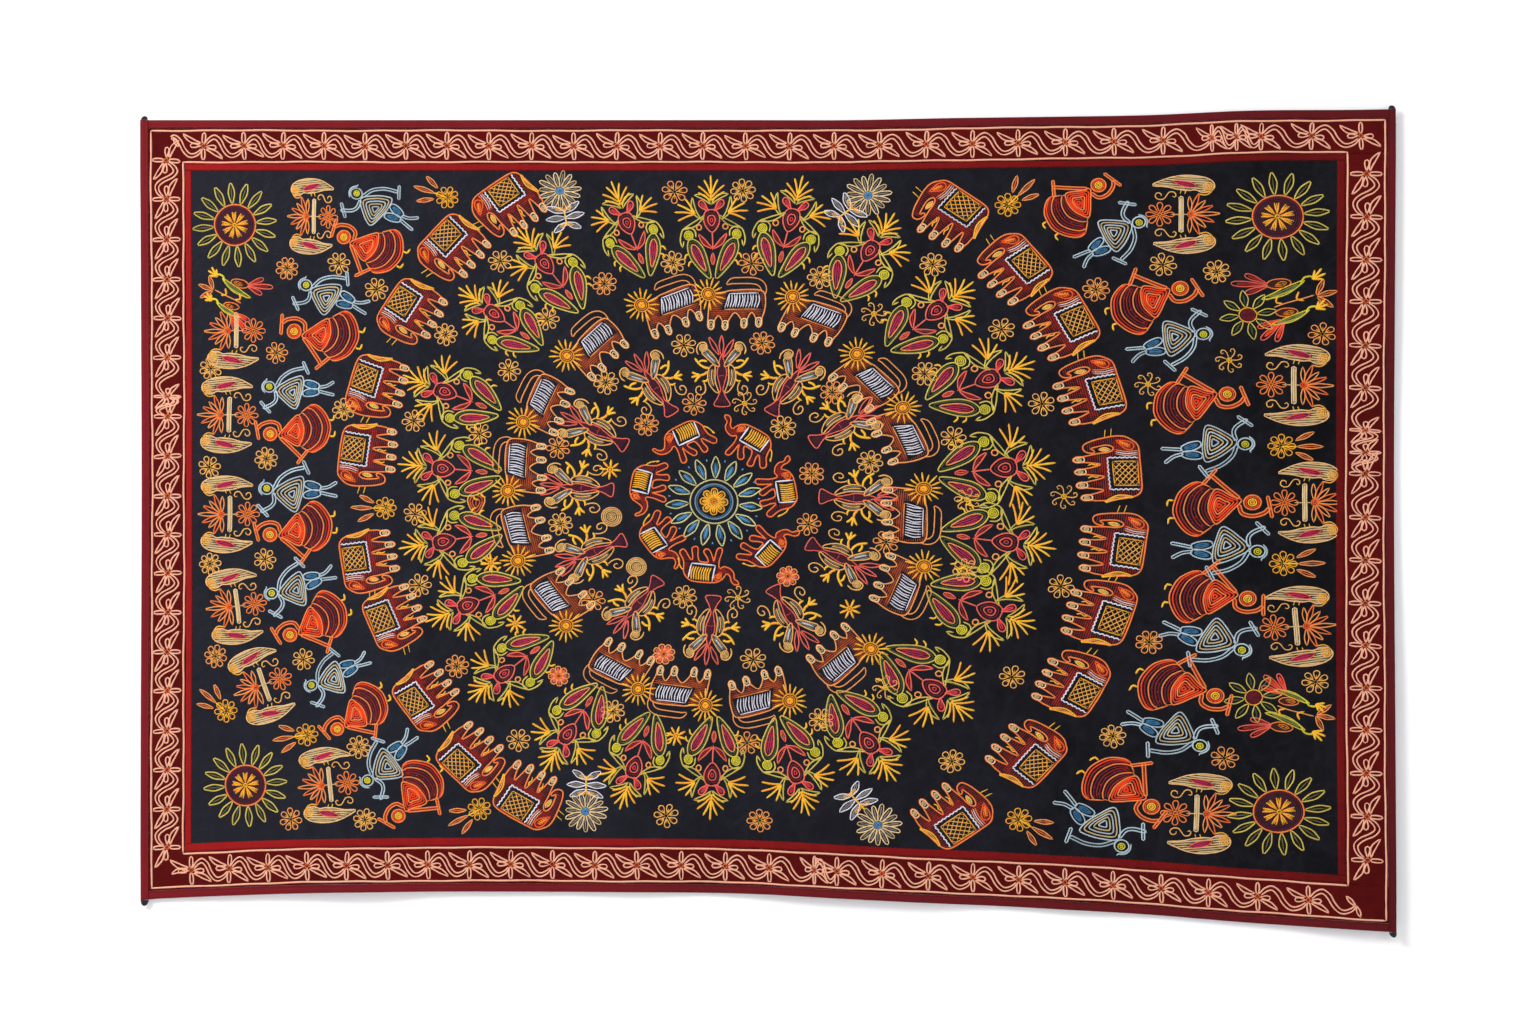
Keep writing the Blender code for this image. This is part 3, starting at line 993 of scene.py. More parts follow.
def feet_line(legs, between):
    """The lower edge of an animal from leg to leg: round feet and the arches between them."""
    points = []
    for i, (left, right, tip) in enumerate(legs):
        points += [(right, tip + 11), (right - 0.2, tip + 3.6), ((left + right) / 2, tip),
                   (left + 0.2, tip + 3.6), (left, tip + 11)]
        if i < len(between):
            points.append(((left + legs[i + 1][1]) / 2, between[i]))
    return points


def add_feet(work, legs, reach, marked=False):
    """Pale toes on every leg: a ring of cream with sand inside, or with a dark mark."""
    for left, right, tip in legs:
        middle = (left + right) / 2
        foot = outline([(left + 0.9, tip + reach), (left + 0.6, tip + 4), (middle, tip + 0.6),
                        (right - 0.6, tip + 4), (right - 0.9, tip + reach),
                        (middle, tip + reach + 0.8)])
        work.run("cream", foot, 2.1, 0.2)
        centre = np.array([middle, tip + reach / 2 + 0.6])
        work.run("sand", centre + (foot - centre) * (0.5 if marked else 0.45), 2.0, 0.05)
        if not marked:
            work.run("sand", [centre - (0, 2.2), centre + (0, 2.2)], 2.2, 0.1)


def lion():
    """Sun-faced mane, rust body with white marks on its flank, and a tail looped over its back."""
    work = Work(2.3)
    legs = ((35.6, 43, -33), (19, 26.4, -34.5), (-3.2, 4.2, -37), (-19.4, -12, -37))
    body = outline([(-14, 6), (0, 9.5), (6, 11), (26, 12.5), (40, 12), (46, 8), (47, -4), (45.5, -14),
                    *feet_line(legs, (-15.5, -16, -20)), (-19, -16), (-18, -4)], 2.0)
    flank = corners([(-2, -12), (4, 9), (39, 10), (41.5, -11)])
    work.fill("rust", [body, flank], between=(-25, 14), inset=1.9)
    work.run("peach", body, 2.1)
    work.straight("white", [(39, 8.6), (5, 7.4), (-0.6, -10.8)], 1.6, 0.1)
    work.straight("peach", [(-1, -12.2), (38, -11.4)], 1.7, 0.1)
    for i in range(12):
        x = 5.4 + i * 3.1
        work.line("white", [(x - 2.8, -9.6), (x - 0.9 + i % 3 * 0.6, -0.8), (x - 0.4, 6.8)], 1.7)
    add_feet(work, legs, 10.5, True)
    tail = curve([(46.5, 6), (48, 14), (44.5, 21.5), (35, 26), (18, 26.4), (6, 25), (1, 18), (7, 19),
                  (20, 19.4), (34, 19), (40.5, 15.4), (42, 10)])
    work.run("peach", tail, 1.8)
    middle = np.array([-19.3, 6.0])
    for i in range(16):
        reach = (20.5, 17.5, 19.5)[i % 3]
        way = towards(22.5 * i + 8)
        ray = even([middle + way * 8.5, middle + way * reach], 5)
        work.run("gold" if i % 2 else "yellow", ray, 2.9, 0.3)
    work.disc("gold", middle, 8.6, 2.2, 0.2)
    for radius, colour in ((6.6, "brown"), (4.6, "brick")):
        work.ring(colour, middle, radius, 2.4, 0.45)
    work.disc("yellow", middle, 3.2, lift=0.55)
    return work


def bush():
    """A rose bush between two parrots, with sprays of leaves."""
    work = Work(2.1)
    rose = outline([(0, 14), (-6.5, 13), (-10.4, 6), (-8.6, -4), (0, -12.5), (8.4, -4), (10.2, 6),
                    (6, 13)])
    work.run("salmon", rose)
    for size, colour in ((0.70, "wine"), (0.46, "salmon"), (0.16, "rose")):
        work.run(colour, (rose - (0, 2)) * size + (0, 2), 1.9)
    work.line("yellow", [(0, 24), (0, 38), (0, 54)], 3.0)
    work.line("salmon", [(0, -12), (0, -33)], 2.2)

    def side():
        """The sprays, leaves and parrot at the right of the rose."""
        for (across, up), lower in (((9, 49), 22), ((17, 42), 18), ((17, 34), 12)):
            spray = [(0.6, up - lower * 0.8), (across * 0.5, up - lower * 0.36), (across, up)]
            work.line("gold" if lower == 18 else "yellow", spray, 2.9)
        work.spray("yellow", (21, 10), ((33, 27), (43, 21)), 2.9, (0, 0.8))
        work.spray("gold", (21, 10), ((47, 12), (43, 2)), 2.9, (0, 0.8))
        for base, tip, bend in (((0.8, 20), (22, 31), 0.14), ((13, 3), (24, 29), -0.16),
                                ((9, 8), (37, -8), -0.06)):
            work.leaf("pale", base, tip, 5.0, bend=bend)
            middle = (np.array(base) + tip) / 2 + (0, bend * 8)
            rib = [base + (middle - base) * 0.5, middle, tip + (middle - tip) * 0.4]
            work.run("leaf", rib, 1.5, -0.3)
        work.leaf("salmon", (4, 12.5), (15.5, 24), 7.6, "rose", shape=LOOP)
        work.ring("peach", (17, -6), 3.2, 2.3)
        work.leaf("salmon", (0.6, -31), (18, -14), 5.4, "brick", bend=-0.08)
        body = Work(2.1)
        body.leaf("pale", (29.5, -20), (3.6, -66), 18.5, shape=DROP)
        body.leaf("leaf", (27.5, -23), (6.0, -62), 14.2, shape=DROP)
        inner = Work(1.9)
        inner.leaf("peach", (26.5, -26), (9.4, -57), 9.8, shape=DROP)
        body.fill("magenta", [inner.threads[0][0]], 60, 2.0, inset=1.3)
        work.add(body)
        work.add(inner)
        for i in range(4):
            spot = np.array([23.5 - 3.4 * i, -30.5 - 6.2 * i])
            work.run("black", [spot, spot - (1.2, 1.8)], 1.3, 0.2)
        work.disc("citron", (30.5, -15.5), 6.2, 2.1)
        work.line("pale", [(21.5, -18), (22.5, -10), (29, -6.2), (36.8, -8), (40, -14.5), (41, -22),
                           (38.6, -29), (36.6, -22)], 2.2)
        for foot in ((34.5, -38), (30, -46)):
            work.line("yellow", np.add(foot, ((-3.5, 1), (0, 0), (1.4, -5))), 2.8)
    work.both_sides(side)
    work.leaf("salmon", (0, -36), (0, -50), 5.0, "ember")
    return work


def big_elephant():
    """Brick-red elephant with a latticed gold cloth, its trunk curled in under it."""
    work = Work(2.3)
    legs = ((26.5, 33.5, -31), (12, 19, -34.5), (-3.6, 3.4, -35), (-18.4, -11.4, -36))
    body = outline([(-34, 24), (-27, 29.5), (-10, 30.6), (8, 31), (24, 30), (31, 24), (34, 10),
                    (35, -4), (34.5, -16), *feet_line(legs, (-7.5, -5.5, -8.5)), (-20.5, -12),
                    (-21.5, 0), (-24.5, 5), (-28, 3.4), (-29.6, -3), (-28.4, -12), (-26.6, -18),
                    (-24, -14.5), (-21.6, -15), (-22.4, -21), (-26, -25), (-31.5, -24.5), (-35.5, -16),
                    (-38, -4), (-39.5, 8), (-38.5, 17)], 1.9)
    cloth = [(-14, 29), (23.5, 28.5), (22.5, -1), (-15, -1.5)]
    work.fill("brick", [body, corners(cloth)], between=(-23, 40), inset=1.6)
    work.run("apricot", body)
    hem = (cloth[0], cloth[3], cloth[2], cloth[1])
    hem = np.concatenate([even(ends, 1.6)[i > 0:] for i, ends in enumerate(zip(hem, hem[1:]))])
    way = np.gradient(hem, axis=0)
    zigzag = (np.sin(np.arange(len(hem)) * 2.1) * 0.4)[:, None]
    work.run("white", hem + np.stack([-way[:, 1], way[:, 0]], -1) * zigzag, 2.2, 0.1)
    net = [(-9.6, 28.5), (19, 28), (18, 4), (-10.4, 3.4)]
    work.straight("gold", corners(net), 1.7)
    for i in range(8):
        for lean in (1, -1):
            ends = lattice_line(net, 0.97, (i + 0.5) / 8, lean)
            if ends is not None:
                work.straight("straw" if lean > 0 else "gold", ends, 1.5, 0.15 * lean)
    work.leaf("orange", (-34.5, 8), (-25.5, 25), 9.4, "amber", LOOP)
    work.line("amber", [(-32.6, 12), (-27.6, 21.5)], 3.0, 0.2)
    for shift, colour in ((0, "peach"), (2.4, "white"), (4.6, "shell")):
        work.run(colour, curve([(-24 + shift, 7), (-21.5 + shift, 17), (-22 + shift, 29)]), 1.6, 0.2)
    add_feet(work, legs, 10.5)
    work.leaf("straw", (-25.4, -10), (-24.2, 1.5), 3.8, "citron")
    for x in (-8.4, 6.4):
        work.line("yellow", [(x - 1, -10), (x + 1.2, -14), (x - 0.4, -18), (x + 1.4, -22)], 2.0)
    work.leaf("yellow", (32.5, 22), (37.5, -8), 4.4, "peach", bend=-0.10)
    for foot in ((-39.5, 3), (-38.5, -3.5)):
        work.run("yellow", [foot, (foot[0] - 9, foot[1] + 1.5)], 2.4)
    return work


def lattice_line(cloth, size, share, lean):
    """One slanting line of a lattice inside a four-sided cloth, or None where it misses."""
    a, b, c, d = (np.array(p, float) for p in cloth)
    middle = (a + b + c + d) / 4
    a, b, c, d = (middle + (p - middle) * size for p in (a, b, c, d))

    def at(u, v):
        return a * (1 - u) * (1 - v) + b * u * (1 - v) + c * u * v + d * (1 - u) * v
    start = share * 2 - 0.5
    low, high = max(0.0, start - 0.5), min(1.0, start + 0.5)
    if high - low < 0.1:
        return None
    ends = [(low, low - start + 0.5), (high, high - start + 0.5)]
    return [at(u, v if lean > 0 else 1 - v) for u, v in ends]


def man():
    """A dancer with sticks, in blue-grey, from the middle of the head, which is blank."""
    work = Work(2.1)
    neck, right, left = (-3.5, -7.5), (12.5, -40.5), (-26.5, -30)
    tunic = outline([neck, (7, -20), (12.5, -33), right, (0, -41), (-13, -38), (-24, -34.5), left,
                     (-18, -19)])
    middle = np.array([-6.5, -28.5])
    for size, colour in ((1.0, "mist"), (0.80, "sand"), (0.60, "mist"), (0.40, "sand"), (0.20, "mist")):
        work.run(colour, middle + (tunic - middle) * size, 2.1)
    work.ring("mist", (0, 0), 6.4, 2.2, tall=7.0)
    work.disc("citron", (0.4, 0), 4.2)
    work.line("mist", [(-7.5, 5), (-2, 8.6), (4, 8), (8.8, 3), (10.5, 3.4)], 2.4)
    work.band("mist", [(1, -8.5), (12, -15), (20, -27), (23.5, -41)], 5.2)
    work.band("mist", [(30.5, -41), (17, -47)], 4.6)
    work.band("mist", [(-6, -8), (-15, -8.5), (-21, -4), (-26, 6)], 5.2)
    work.band("mist", [(-19, 10), (-31, -1)], 4.6)
    legs = (
        ((-8, -41), (-4.4, -61), (-6.4, -69), (-8.4, -78)),
        ((6, -42), (0.6, -61), (2, -69), (7, -77.5)),
    )
    for hip, knee, shin, foot in legs:
        work.leaf("mist", hip, knee, 9.6, "blue", SLIM)
        work.band("mist", [knee, shin, foot], 4.8)
    return work


def woman():
    """A dancer with sticks and a wide tiered skirt, from the middle of the head, which is blank."""
    work = Work(2.2)
    neck = np.array([-4.5, -9.5])
    waist = curve([(16.5, -39.5), (9, -42), (-1, -43), (-12, -39.5), (-21.5, -32.5)])
    bodice = outline([neck, (6, -22), (14, -33), (16.5, -39.5), (9, -42), (-1, -43), (-12, -39.5),
                      (-21.5, -32.5), (-19, -26), (-11, -18)])
    middle = np.array([-3, -32])
    for i in range(6):
        inner = middle + (bodice - middle) * (1 - 0.175 * i)
        work.run("flame" if i % 3 else "apricot", inner, 2.3)
    hem = curve([(26.5, -57), (25, -64), (17.5, -70.5), (6, -75), (-5, -76), (-16, -72), (-26, -65),
                 (-32.5, -53), (-33, -45.5)])
    count = 40
    upper, lower = spaced(waist, count), spaced(hem, count)
    bands = ((0.09, "brick", 2.2), (0.18, "wine", 2.1), (0.28, "apricot", 2.1), (0.38, "wine", 2.1),
             (0.48, "brick", 2.2), (0.58, "wine", 2.1), (0.69, "apricot", 2.1), (0.80, "brick", 2.2),
             (0.90, "flame", 2.2), (1.00, "apricot", 2.3))
    for share, colour, width in bands:
        row = upper + (lower - upper) * share
        row[:, 0] *= 1 - 0.05 * (share < 0.3)
        edge = colour in ("apricot", "flame")
        cut = 0 if edge else 2
        work.run(colour, even(row[cut:count - cut], 2.6), width, 0.1 if edge else 0.0)
    for end in (0, -1):
        work.straight("apricot", [upper[end], (upper + (lower - upper) * 0.27)[end] * (0.95, 1)], 2.2)
        work.straight("apricot", [(upper + (lower - upper) * 0.24)[end], lower[end]], 2.2)
    for i in range(11):
        share = 0.42 if i % 2 else 0.56
        spot = (upper + (lower - upper) * share)[3 + round(i * 3.3)]
        work.run("rose", [spot, spot + (1.4, 1.2 if i % 2 else -1.2)], 1.8, 0.25)
    work.ring("apricot", (0, 0), 8.2, 2.3)
    work.ring("flame", (0, 0), 6.2, 2.0)
    work.disc("yellow", (0, 0), 5.0)
    work.band("apricot", [(1, -13), (10, -12), (15, -3), (14, 8), (10, 14)], 5.4, "brick")
    work.band("apricot", [(19, 15), (-3, 15.5)], 4.8, "brick")
    work.band("apricot", [(-8, -12), (-22, -22), (-38, -33)], 5.4, "brick")
    work.band("apricot", [(-43, -27), (-30, -42)], 4.8, "brick")
    for heel in ((3, -76), (-17, -73)):
        work.line("yellow", np.add(heel, ((0, 0), (-1, -5), (5, -7.5))), 3.0)
    return work


def side_bird():
    """A cream bird with a red wing, its head down and its tail out behind."""
    work = Work(1.9)
    shape = outline([(-27, -9), (-32, -5), (-32, 1), (-27, 6), (-17, 9.6), (-3, 11), (10, 9), (21, 4.5),
                     (29.5, -1), (16, -2.4), (4, -5.4), (-6, -6.8), (-14, -6.4), (-20, -9.5)])
    wing = outline([(-15, -2.6), (-9, 2.4), (0, 4.6), (9, 4.6), (2, -0.6), (-7, -3.6)])
    work.run("wheat", shape)
    work.fill("sand", [shape, wing], 6, 2.5, 1.2)
    work.run("salmon", wing, 1.7, 0.3)
    work.fill("magenta", [wing], 14, 2.1, 1.1, lift=0.2)
    work.disc("honey", (-26.5, -3.6), 6.0, lift=0.3)
    work.line("honey", [(-30, -8.5), (-24, -12.5), (-16, -11)], 2.0)
    for foot in (-4, 1):
        work.run("yellow", [(foot, -6), (foot + 1.4, -10.5)], 2.4)
    return work


def group(upper=True):
    """Half a flower, a bar and a whole flower, with a bird above and below and curls between."""
    work = Work(1.8)
    for i in range(9):
        way = towards(88 + 184 / 8 * i)
        reach = (21, 25, 22, 25, 30, 26, 23, 26, 22)[i]
        work.leaf("vivid" if i % 2 else "peach", way * 3 + (-10, 0), way * reach + (-10, 0), 4.3)
    work.disc("orange", (-10.5, 0), 4.2)
    work.band("cream", [(-0.6, -20), (-0.6, 20)], 5.8, "sand")
    work.line("sand", [(-8, 0), (10, 0)], 1.8)
    work.petals("apricot", (20.5, 0), 2.6, 14.2, 5.6, 8)
    work.disc("amber", (20.5, 0), 2.8, lift=0.2)
    half = Work(1.8)
    half.line("straw", [(8.2, 21.4), (5.6, 20.2), (4.4, 22.8), (6.6, 26), (11, 26), (14, 22),
                        (16.6, 18.2), (21.6, 17.6), (25, 21), (23.2, 25), (19.4, 24.4), (19, 21.4)])
    half.add(side_bird(), -2.0, 34.5)
    work.threads += half.scaled(1, -1).threads
    if upper:
        work.add(half)
    return work


def branch_parrots():
    """Two long-tailed parrots on a thin branch, their heads up towards the branch's end."""
    work = Work(1.8)
    parrot = Work(1.8)
    parrot.leaf("citron", (-29, -5), (14, 18), 7.6, "green", bend=-0.06)
    parrot.line("pale", [(-24, -6), (-8, 1), (4, 7), (12, 16)], 1.8)
    parrot.line("citron", [(10, 13), (13, 20), (20, 22), (24, 19)], 3.0)
    parrot.spray("yellow", (21, 19), ((24, 29), (31, 31), (35, 25), (33, 18)), 3.4, (0.6, 0))
    wing = outline([(-24, 12), (-17, 17.5), (-5, 18.5), (1, 15), (-3, 9.5), (-12, 7), (-20, 8)])
    parrot.fill("brown", [wing], 0, 2.2, 1.8)
    parrot.run("apricot", wing)
    parrot.leaf("amber", (-15, 10.5), (-3, 14.5), 5.0, "honey")
    for base, tip, width in (((-22, 11), (-58, 14), 6.5), ((-23, 13), (-44, 24), 6),
                             ((-22, 10), (-44, 2), 6)):
        parrot.leaf("salmon", base, tip, width, "brick", shape=LOOP)
    work.add(parrot)
    low = parrot.scaled(0.86, 0.86)
    low.threads = [thread for thread in low.threads if thread[1] not in ("salmon", "brick")]
    work.add(low, 6, -31, -2)
    for base, tip, width in (((-12, -26), (-32, -38), 6), ((-11, -28), (-29, -52), 6.5),
                             ((-9, -28), (-14, -54), 6)):
        work.leaf("salmon", (base[0] + 4, base[1] - 2), tip, width, "flame", shape=LOOP)
    work.line("peach", [(-16, -14), (-4, -9), (8, -5), (23, 0)], 1.8)
    for knee in ((-12, 0), (8, 4)):
        work.line("gold", np.add(knee, ((0, 0), (-2, -8), (5, -10))), 3.0)
    for base, tip, width in (((25, 0), (33, 18), 5.5), ((26, -1), (46, 4), 5.5),
                             ((26, -2), (42, -14), 5.5)):
        work.leaf("peach", base, tip, width, "ember")
    return work


def green_flower():
    """Eight green petals round a maroon disc."""
    work = Work(1.8)
    for i in range(8):
        way = towards(100 + 45 * i)
        work.leaf("pale", way * 9, way * 29, 8.0)
        work.run("leaf", even([way * 13, way * 24], 4), 2.6, -0.3)
    work.ring("gold", (0, 0), 8.6)
    work.disc("wine", (0, 0), 7.4)
    return work


def daisy(leaves_at):
    """A pale daisy with a blue heart and grey leaves, on a short yellow stem."""
    work = Work(1.8)
    for i in range(15):
        way = towards(24 * i + 8)
        work.leaf("sand" if i % 2 else "cream", way * 5, way * (25, 22.5, 24)[i % 3], 5.4, "grey", SLIM)
    work.disc("sky", (0, 0), 4.4, lift=0.2)
    middle = np.array(leaves_at, float) * 1.06
    way = middle / np.hypot(*middle)
    side = np.array([-way[1], way[0]])
    work.line("yellow", [way * 22, middle + way * 15], 2.6)
    for sign in (1, -1):
        for along, reach, lean in ((-1, 19, 0.50), (5, 22, 0.05), (11, 16, -0.6)):
            base = middle + way * along
            work.leaf("white", base, base + side * sign * reach - way * lean * reach, 6.8, "grey")
        work.leaf("gold", middle - way * 5, middle - way * 7 + side * sign * 10, 3.6, "yellow")
        work.leaf("gold", middle + way * 13, middle + way * 15 + side * sign * 8, 3.6, "yellow")
    return work


def small_rose():
    """An eight-petal flower in peach and salmon."""
    work = Work(1.9)
    work.petals("peach", (0, 0), 2.5, 12.0, 6.6, 8, "salmon")
    work.disc("orange", (0, 0), 3.0, lift=0.2)
    return work


# Where each motif goes. Those on a ring face away from its middle

RING_MIDDLE = (-56, -457)
SUN_MIDDLE = (-65, -462)
RINGS = {
    # motif: its places, each the degrees clockwise from the top and the reach in millimetres
    "small_elephants": ((-24, 86), (31, 86), (80, 84), (132, 87), (-172, 83), (-124, 83), (-76, 87)),
    "vases": (
        (-31, 159), (0, 152), (31, 160), (59, 172), (90, 165), (117, 163), (150, 167), (-175, 160),
        (-142, 166), (-113, 171), (-86, 175), (-62, 174),
    ),
    "lions": (
        (-18, 245), (1, 240), (24, 251), (48, 232), (68, 238), (92, 236), (113, 250), (140, 249),
        (166, 252), (-171, 245), (-152, 246), (-125, 238), (-103, 251), (-84, 252), (-65, 250),
        (-43, 246),
    ),
    "bushes": (
        (-19, 350), (-2, 334), (14, 345), (31, 347), (49, 343), (66, 351), (84, 342), (99, 346),
        (113, 350), (132, 344), (149, 344), (165, 343), (-178, 334), (-162, 342), (-147, 340),
        (-129, 337), (-113, 332), (-99, 339), (-84, 338), (-69, 357), (-51, 352), (-37, 353),
    ),
    "elephants": (
        (-36, 438), (-47, 444), (-59, 438), (-72, 439), (-83, 433), (-100, 435), (-110, 422),
        (-124, 431), (-136, 437), (-147, 431), (39, 440), (52, 450), (63, 462), (74, 465),
        (86, 471), (97, 479), (107, 479), (118, 481), (130, 483), (144, 475),
    ),
}
RING_SIZES = {
    # motif: its size and how wide it is drawn
    "small_elephants": (0.84, 1.0), "vases": (0.94, 0.86), "lions": (1.0, 0.95),
    "elephants": (1.0, 0.98),
}
RAISED_TRUNKS = (31, 80, 132, -172)
# The bushes' width: its middle value, what it gains at the right, and loses above and below
BUSH_WIDTH = (1.03, 0.06, 0.19)
MEN = (
    # across and up of the head, turn, size
    (-498, -89, 62, 1.00), (-559, -200, 71, 1.00), (-603, -323, 89, 0.98), (-606, -446, 90, 1.07),
    (-600, -573, 110, 1.01), (-552, -684, 117, 0.96), (-484, -799, 137, 0.99),
    (449, -124, -52, 0.97), (527, -259, -71, 0.99), (577, -392, -80, 1.03), (592, -522, -90, 1.05),
    (573, -641, -106, 1.05), (523, -757, -113, 1.04), (428, -879, -132, 1.08),
)
WOMEN = (
    (-513, -142, 74, 0.95), (-573, -256, 88, 1.01), (-602, -380, 101, 0.96),
    (-602, -502, 105, 0.98), (-578, -623, 122, 0.97), (-521, -737, 133, 0.91),
    (-447, -842, 151, 0.96), (400, -79, -38, 0.91), (499, -204, -59, 0.98), (556, -332, -69, 0.98),
    (586, -463, -78, 1.02), (580, -579, -89, 1.00), (541, -697, -100, 1.01),
    (464, -831, -123, 0.99),
)
GROUPS = (
    # across, up, turn, how wide; those on the right are mirrored
    (-549, -117, 0, 0.82), (-651, -357, 0, 1.0), (-650, -477, 0, 1.0), (-641, -588, 6, 1.0),
    (-609, -683, 20, 1.0), (-529, -804, 6, 1.0), (499, -114, 0, 1.0), (635, -321, -2, 1.0),
    (649, -463, 0, 0.93), (638, -613, 2, 1.0), (518, -839, -2, 1.0),
)
HALF_GROUP = (-643, -255)
PARROTS = (
    # across, up, turn, size, mirrored
    (632, -212, 0.0, 1.0, False),
    (-650, -208, -8, 0.86, True),
    (634, -722, 180, 0.92, True),
)
GREEN_FLOWERS = ((581, -236), (587, -699))
SUN_SIZE = 0.97
SUNS = ((-645, -127), (-632, -805), (617, -117), (618, -837))
DAISIES = (
    # across, up, and the leaves' place from there
    (-252, -86, (5, -25)), (121, -91, (-19, -17)), (-221, -837, (1, 26)), (133, -853, (-20, 24)),
)
FILLERS = (
    (-113, -87), (-30, -85), (-519, -174), (-582, -180), (-324, -171), (-115, -173), (-20, -174),
    (63, -191), (-474, -205), (-198, -198), (-267, -241), (-390, -260), (-594, -282), (-674, -301),
    (-102, -273), (-7, -270), (-313, -303), (-196, -318), (-89, -344), (-513, -350), (-429, -364),
    (-147, -369), (-349, -380), (18, -372), (-254, -397), (-607, -410), (-675, -420), (53, -428),
    (-427, -477), (-251, -489), (49, -489), (200, -175), (283, -254), (397, -205), (478, -175),
    (543, -184), (670, -259), (190, -307), (331, -344), (78, -330), (224, -385), (123, -414),
    (143, -511), (-674, -537), (-608, -532), (-668, -649), (-562, -653), (-495, -759), (-577, -846),
    (-487, -846), (-421, -563), (-376, -661), (-302, -751), (-188, -716), (-25, -754), (64, -726),
    (-123, -842), (-10, -848), (-18, -653), (-101, -577), (-212, -581), (239, -545), (355, -565),
    (461, -632), (662, -680), (417, -746), (552, -772), (222, -776), (296, -674),
)
SPRIGGED = (
    # across, up, and which way the sprig points
    (-388, -94, 70), (-463, -470, 90), (-656, -715, 50), (-558, -744, 98), (-349, -834, 118),
    (290, -103, -45), (621, -395, -90), (623, -537, -90), (304, -847, -125),
)
CURLED = (
    (558, -291), (-37, -578), (-28, -343), (128, -235), (358, -456), (241, -460), (142, -687),
    (460, -320),
)
STARS = ((-191, -423), (-335, -537), (-305, -610), (-111, -745), (99, -592))
ROSES = ((-253, -673), (-126, -646), (24, -552))
COINS = ((-189, -480), (-159, -541))
DROP_LEAF = (-353, -464, 180)


def add_embroidery(thread):
    pieces = []

    def stitched(name):
        pieces.append(Stitching(f"stitched_{name}", "stitch_thread", thread))
        return pieces[-1]

    makers = {"vases": vase, "lions": lion, "bushes": bush, "elephants": big_elephant}
    for name, places in RINGS.items():
        piece, small = stitched(name), name == "small_elephants"
        middle = SUN_MIDDLE if small else RING_MIDDLE
        size, wide = RING_SIZES.get(name, (1.0, 1.0))
        for turn, reach in places:
            work = small_elephant(turn in RAISED_TRUNKS) if small else makers[name]()
            right, up = math.sin(math.radians(turn)), math.cos(math.radians(turn))
            if name == "bushes":
                wide = BUSH_WIDTH[0] + BUSH_WIDTH[1] * right - BUSH_WIDTH[2] * abs(up)
            place = middle[0] + reach * right, middle[1] + reach * up
            piece.lay(work, *place, -turn, size, wide=wide)
    for name, work, places in (("men", man(), MEN), ("women", woman(), WOMEN)):
        piece = stitched(name)
        for across, up, turn, size in places:
            piece.lay(work, across, up, turn, size, uneven=0.3)
    piece, work = stitched("side_birds"), group()
    for across, up, turn, wide in GROUPS:
        piece.lay(work, across, up, turn, flip=across > 0, wide=wide)
    piece.lay(group(False), *HALF_GROUP)
    piece = stitched("branch_parrots")
    for place in PARROTS:
        piece.lay(branch_parrots(), *place)
    for spot in GREEN_FLOWERS:
        piece.lay(green_flower(), *spot)
    piece = stitched("suns")
    for spot in SUNS:
        piece.lay(corner_sun(), *spot, size=SUN_SIZE)
    piece.lay(middle_sun(), *SUN_MIDDLE, size=SUN_SIZE)
    piece = stitched("daisies")
    for across, up, leaves in DAISIES:
        piece.lay(daisy(leaves), across, up)
    piece = stitched("small_flowers")
    for i, spot in enumerate(FILLERS):
        flower = filler_flower("straw" if i % 3 else "peach", 7 + i % 2)
        piece.lay(flower, *spot, RANDOM.uniform(0, 45))
    for across, up, turn in SPRIGGED:
        piece.lay(filler_flower("gold"), across, up, turn)
        piece.lay(sprig(), across, up, turn)
    for draw, spots in ((curled_flower, CURLED), (star, STARS), (small_rose, ROSES), (coin, COINS)):
        for spot in spots:
            piece.lay(draw(), *spot, RANDOM.uniform(0, 40))
    piece.lay(drop_leaf(), *DROP_LEAF)
    return [piece.make() for piece in pieces]


# The border's vine and its two cream lines

VINE_PITCH = 47.8
VINE_SIDES = {
    # the first flower's place from the left or top, the last's, the pitch's growth, a short step
    "top": (77, 1480, 1.0, 1281),
    "bottom": (62, 1440, 1.0, 772),
    "left": (49, 905, 1.01, 300),
    "right": (77, 900, 1.04, 372),
}
# The stem's own length, and the step below which a flower is drawn narrower
DRAWN_PITCH, FULL_STEP = 53.8, 40
LINE_INSET, LINE_WIDTH = (3.2, 2.3), 2.7


def vine_flower():
    """A flower of the vine with its two leaves."""
    work = Work(2.3)
    work.leaf("shell", (0, 3), (0.4, 16.2), 4.4, shape=SLIM)
    work.leaf("shell", (0, -3), (0.4, -16.6), 4.4, shape=SLIM)
    work.leaf("shell", (-3, 0), (-16, 0.2), 5.0, shape=LOOP)
    work.leaf("shell", (3, -0.4), (15.4, -1.4), 5.0, shape=LOOP)
    work.leaf("shell", (-3, 3.4), (-25, 13.6), 4.9, bend=0.10)
    work.leaf("shell", (3, -3.4), (24, -14.4), 4.9, bend=0.06)
    work.disc("ember", (0, 0), 3.4, lift=0.2)
    return work


def vine_stem():
    """The double stem from a flower to the next."""
    work = Work(2.3)
    work.line("shell", [(1.6, 2.7), (7.7, 10), (15.7, 13), (23.8, 7.4), (28.5, -1.3), (34.6, -8.4),
                        (40, -9.6), (46.7, -6.7), (51, -3)])
    work.line("shell", [(3.6, 1.3), (10.4, 6.8), (15.7, 8), (21, 2.7), (26.5, -6.7), (33.2, -12.8),
                        (40, -13.6), (48, -9.8), (52, -4)])
    return work


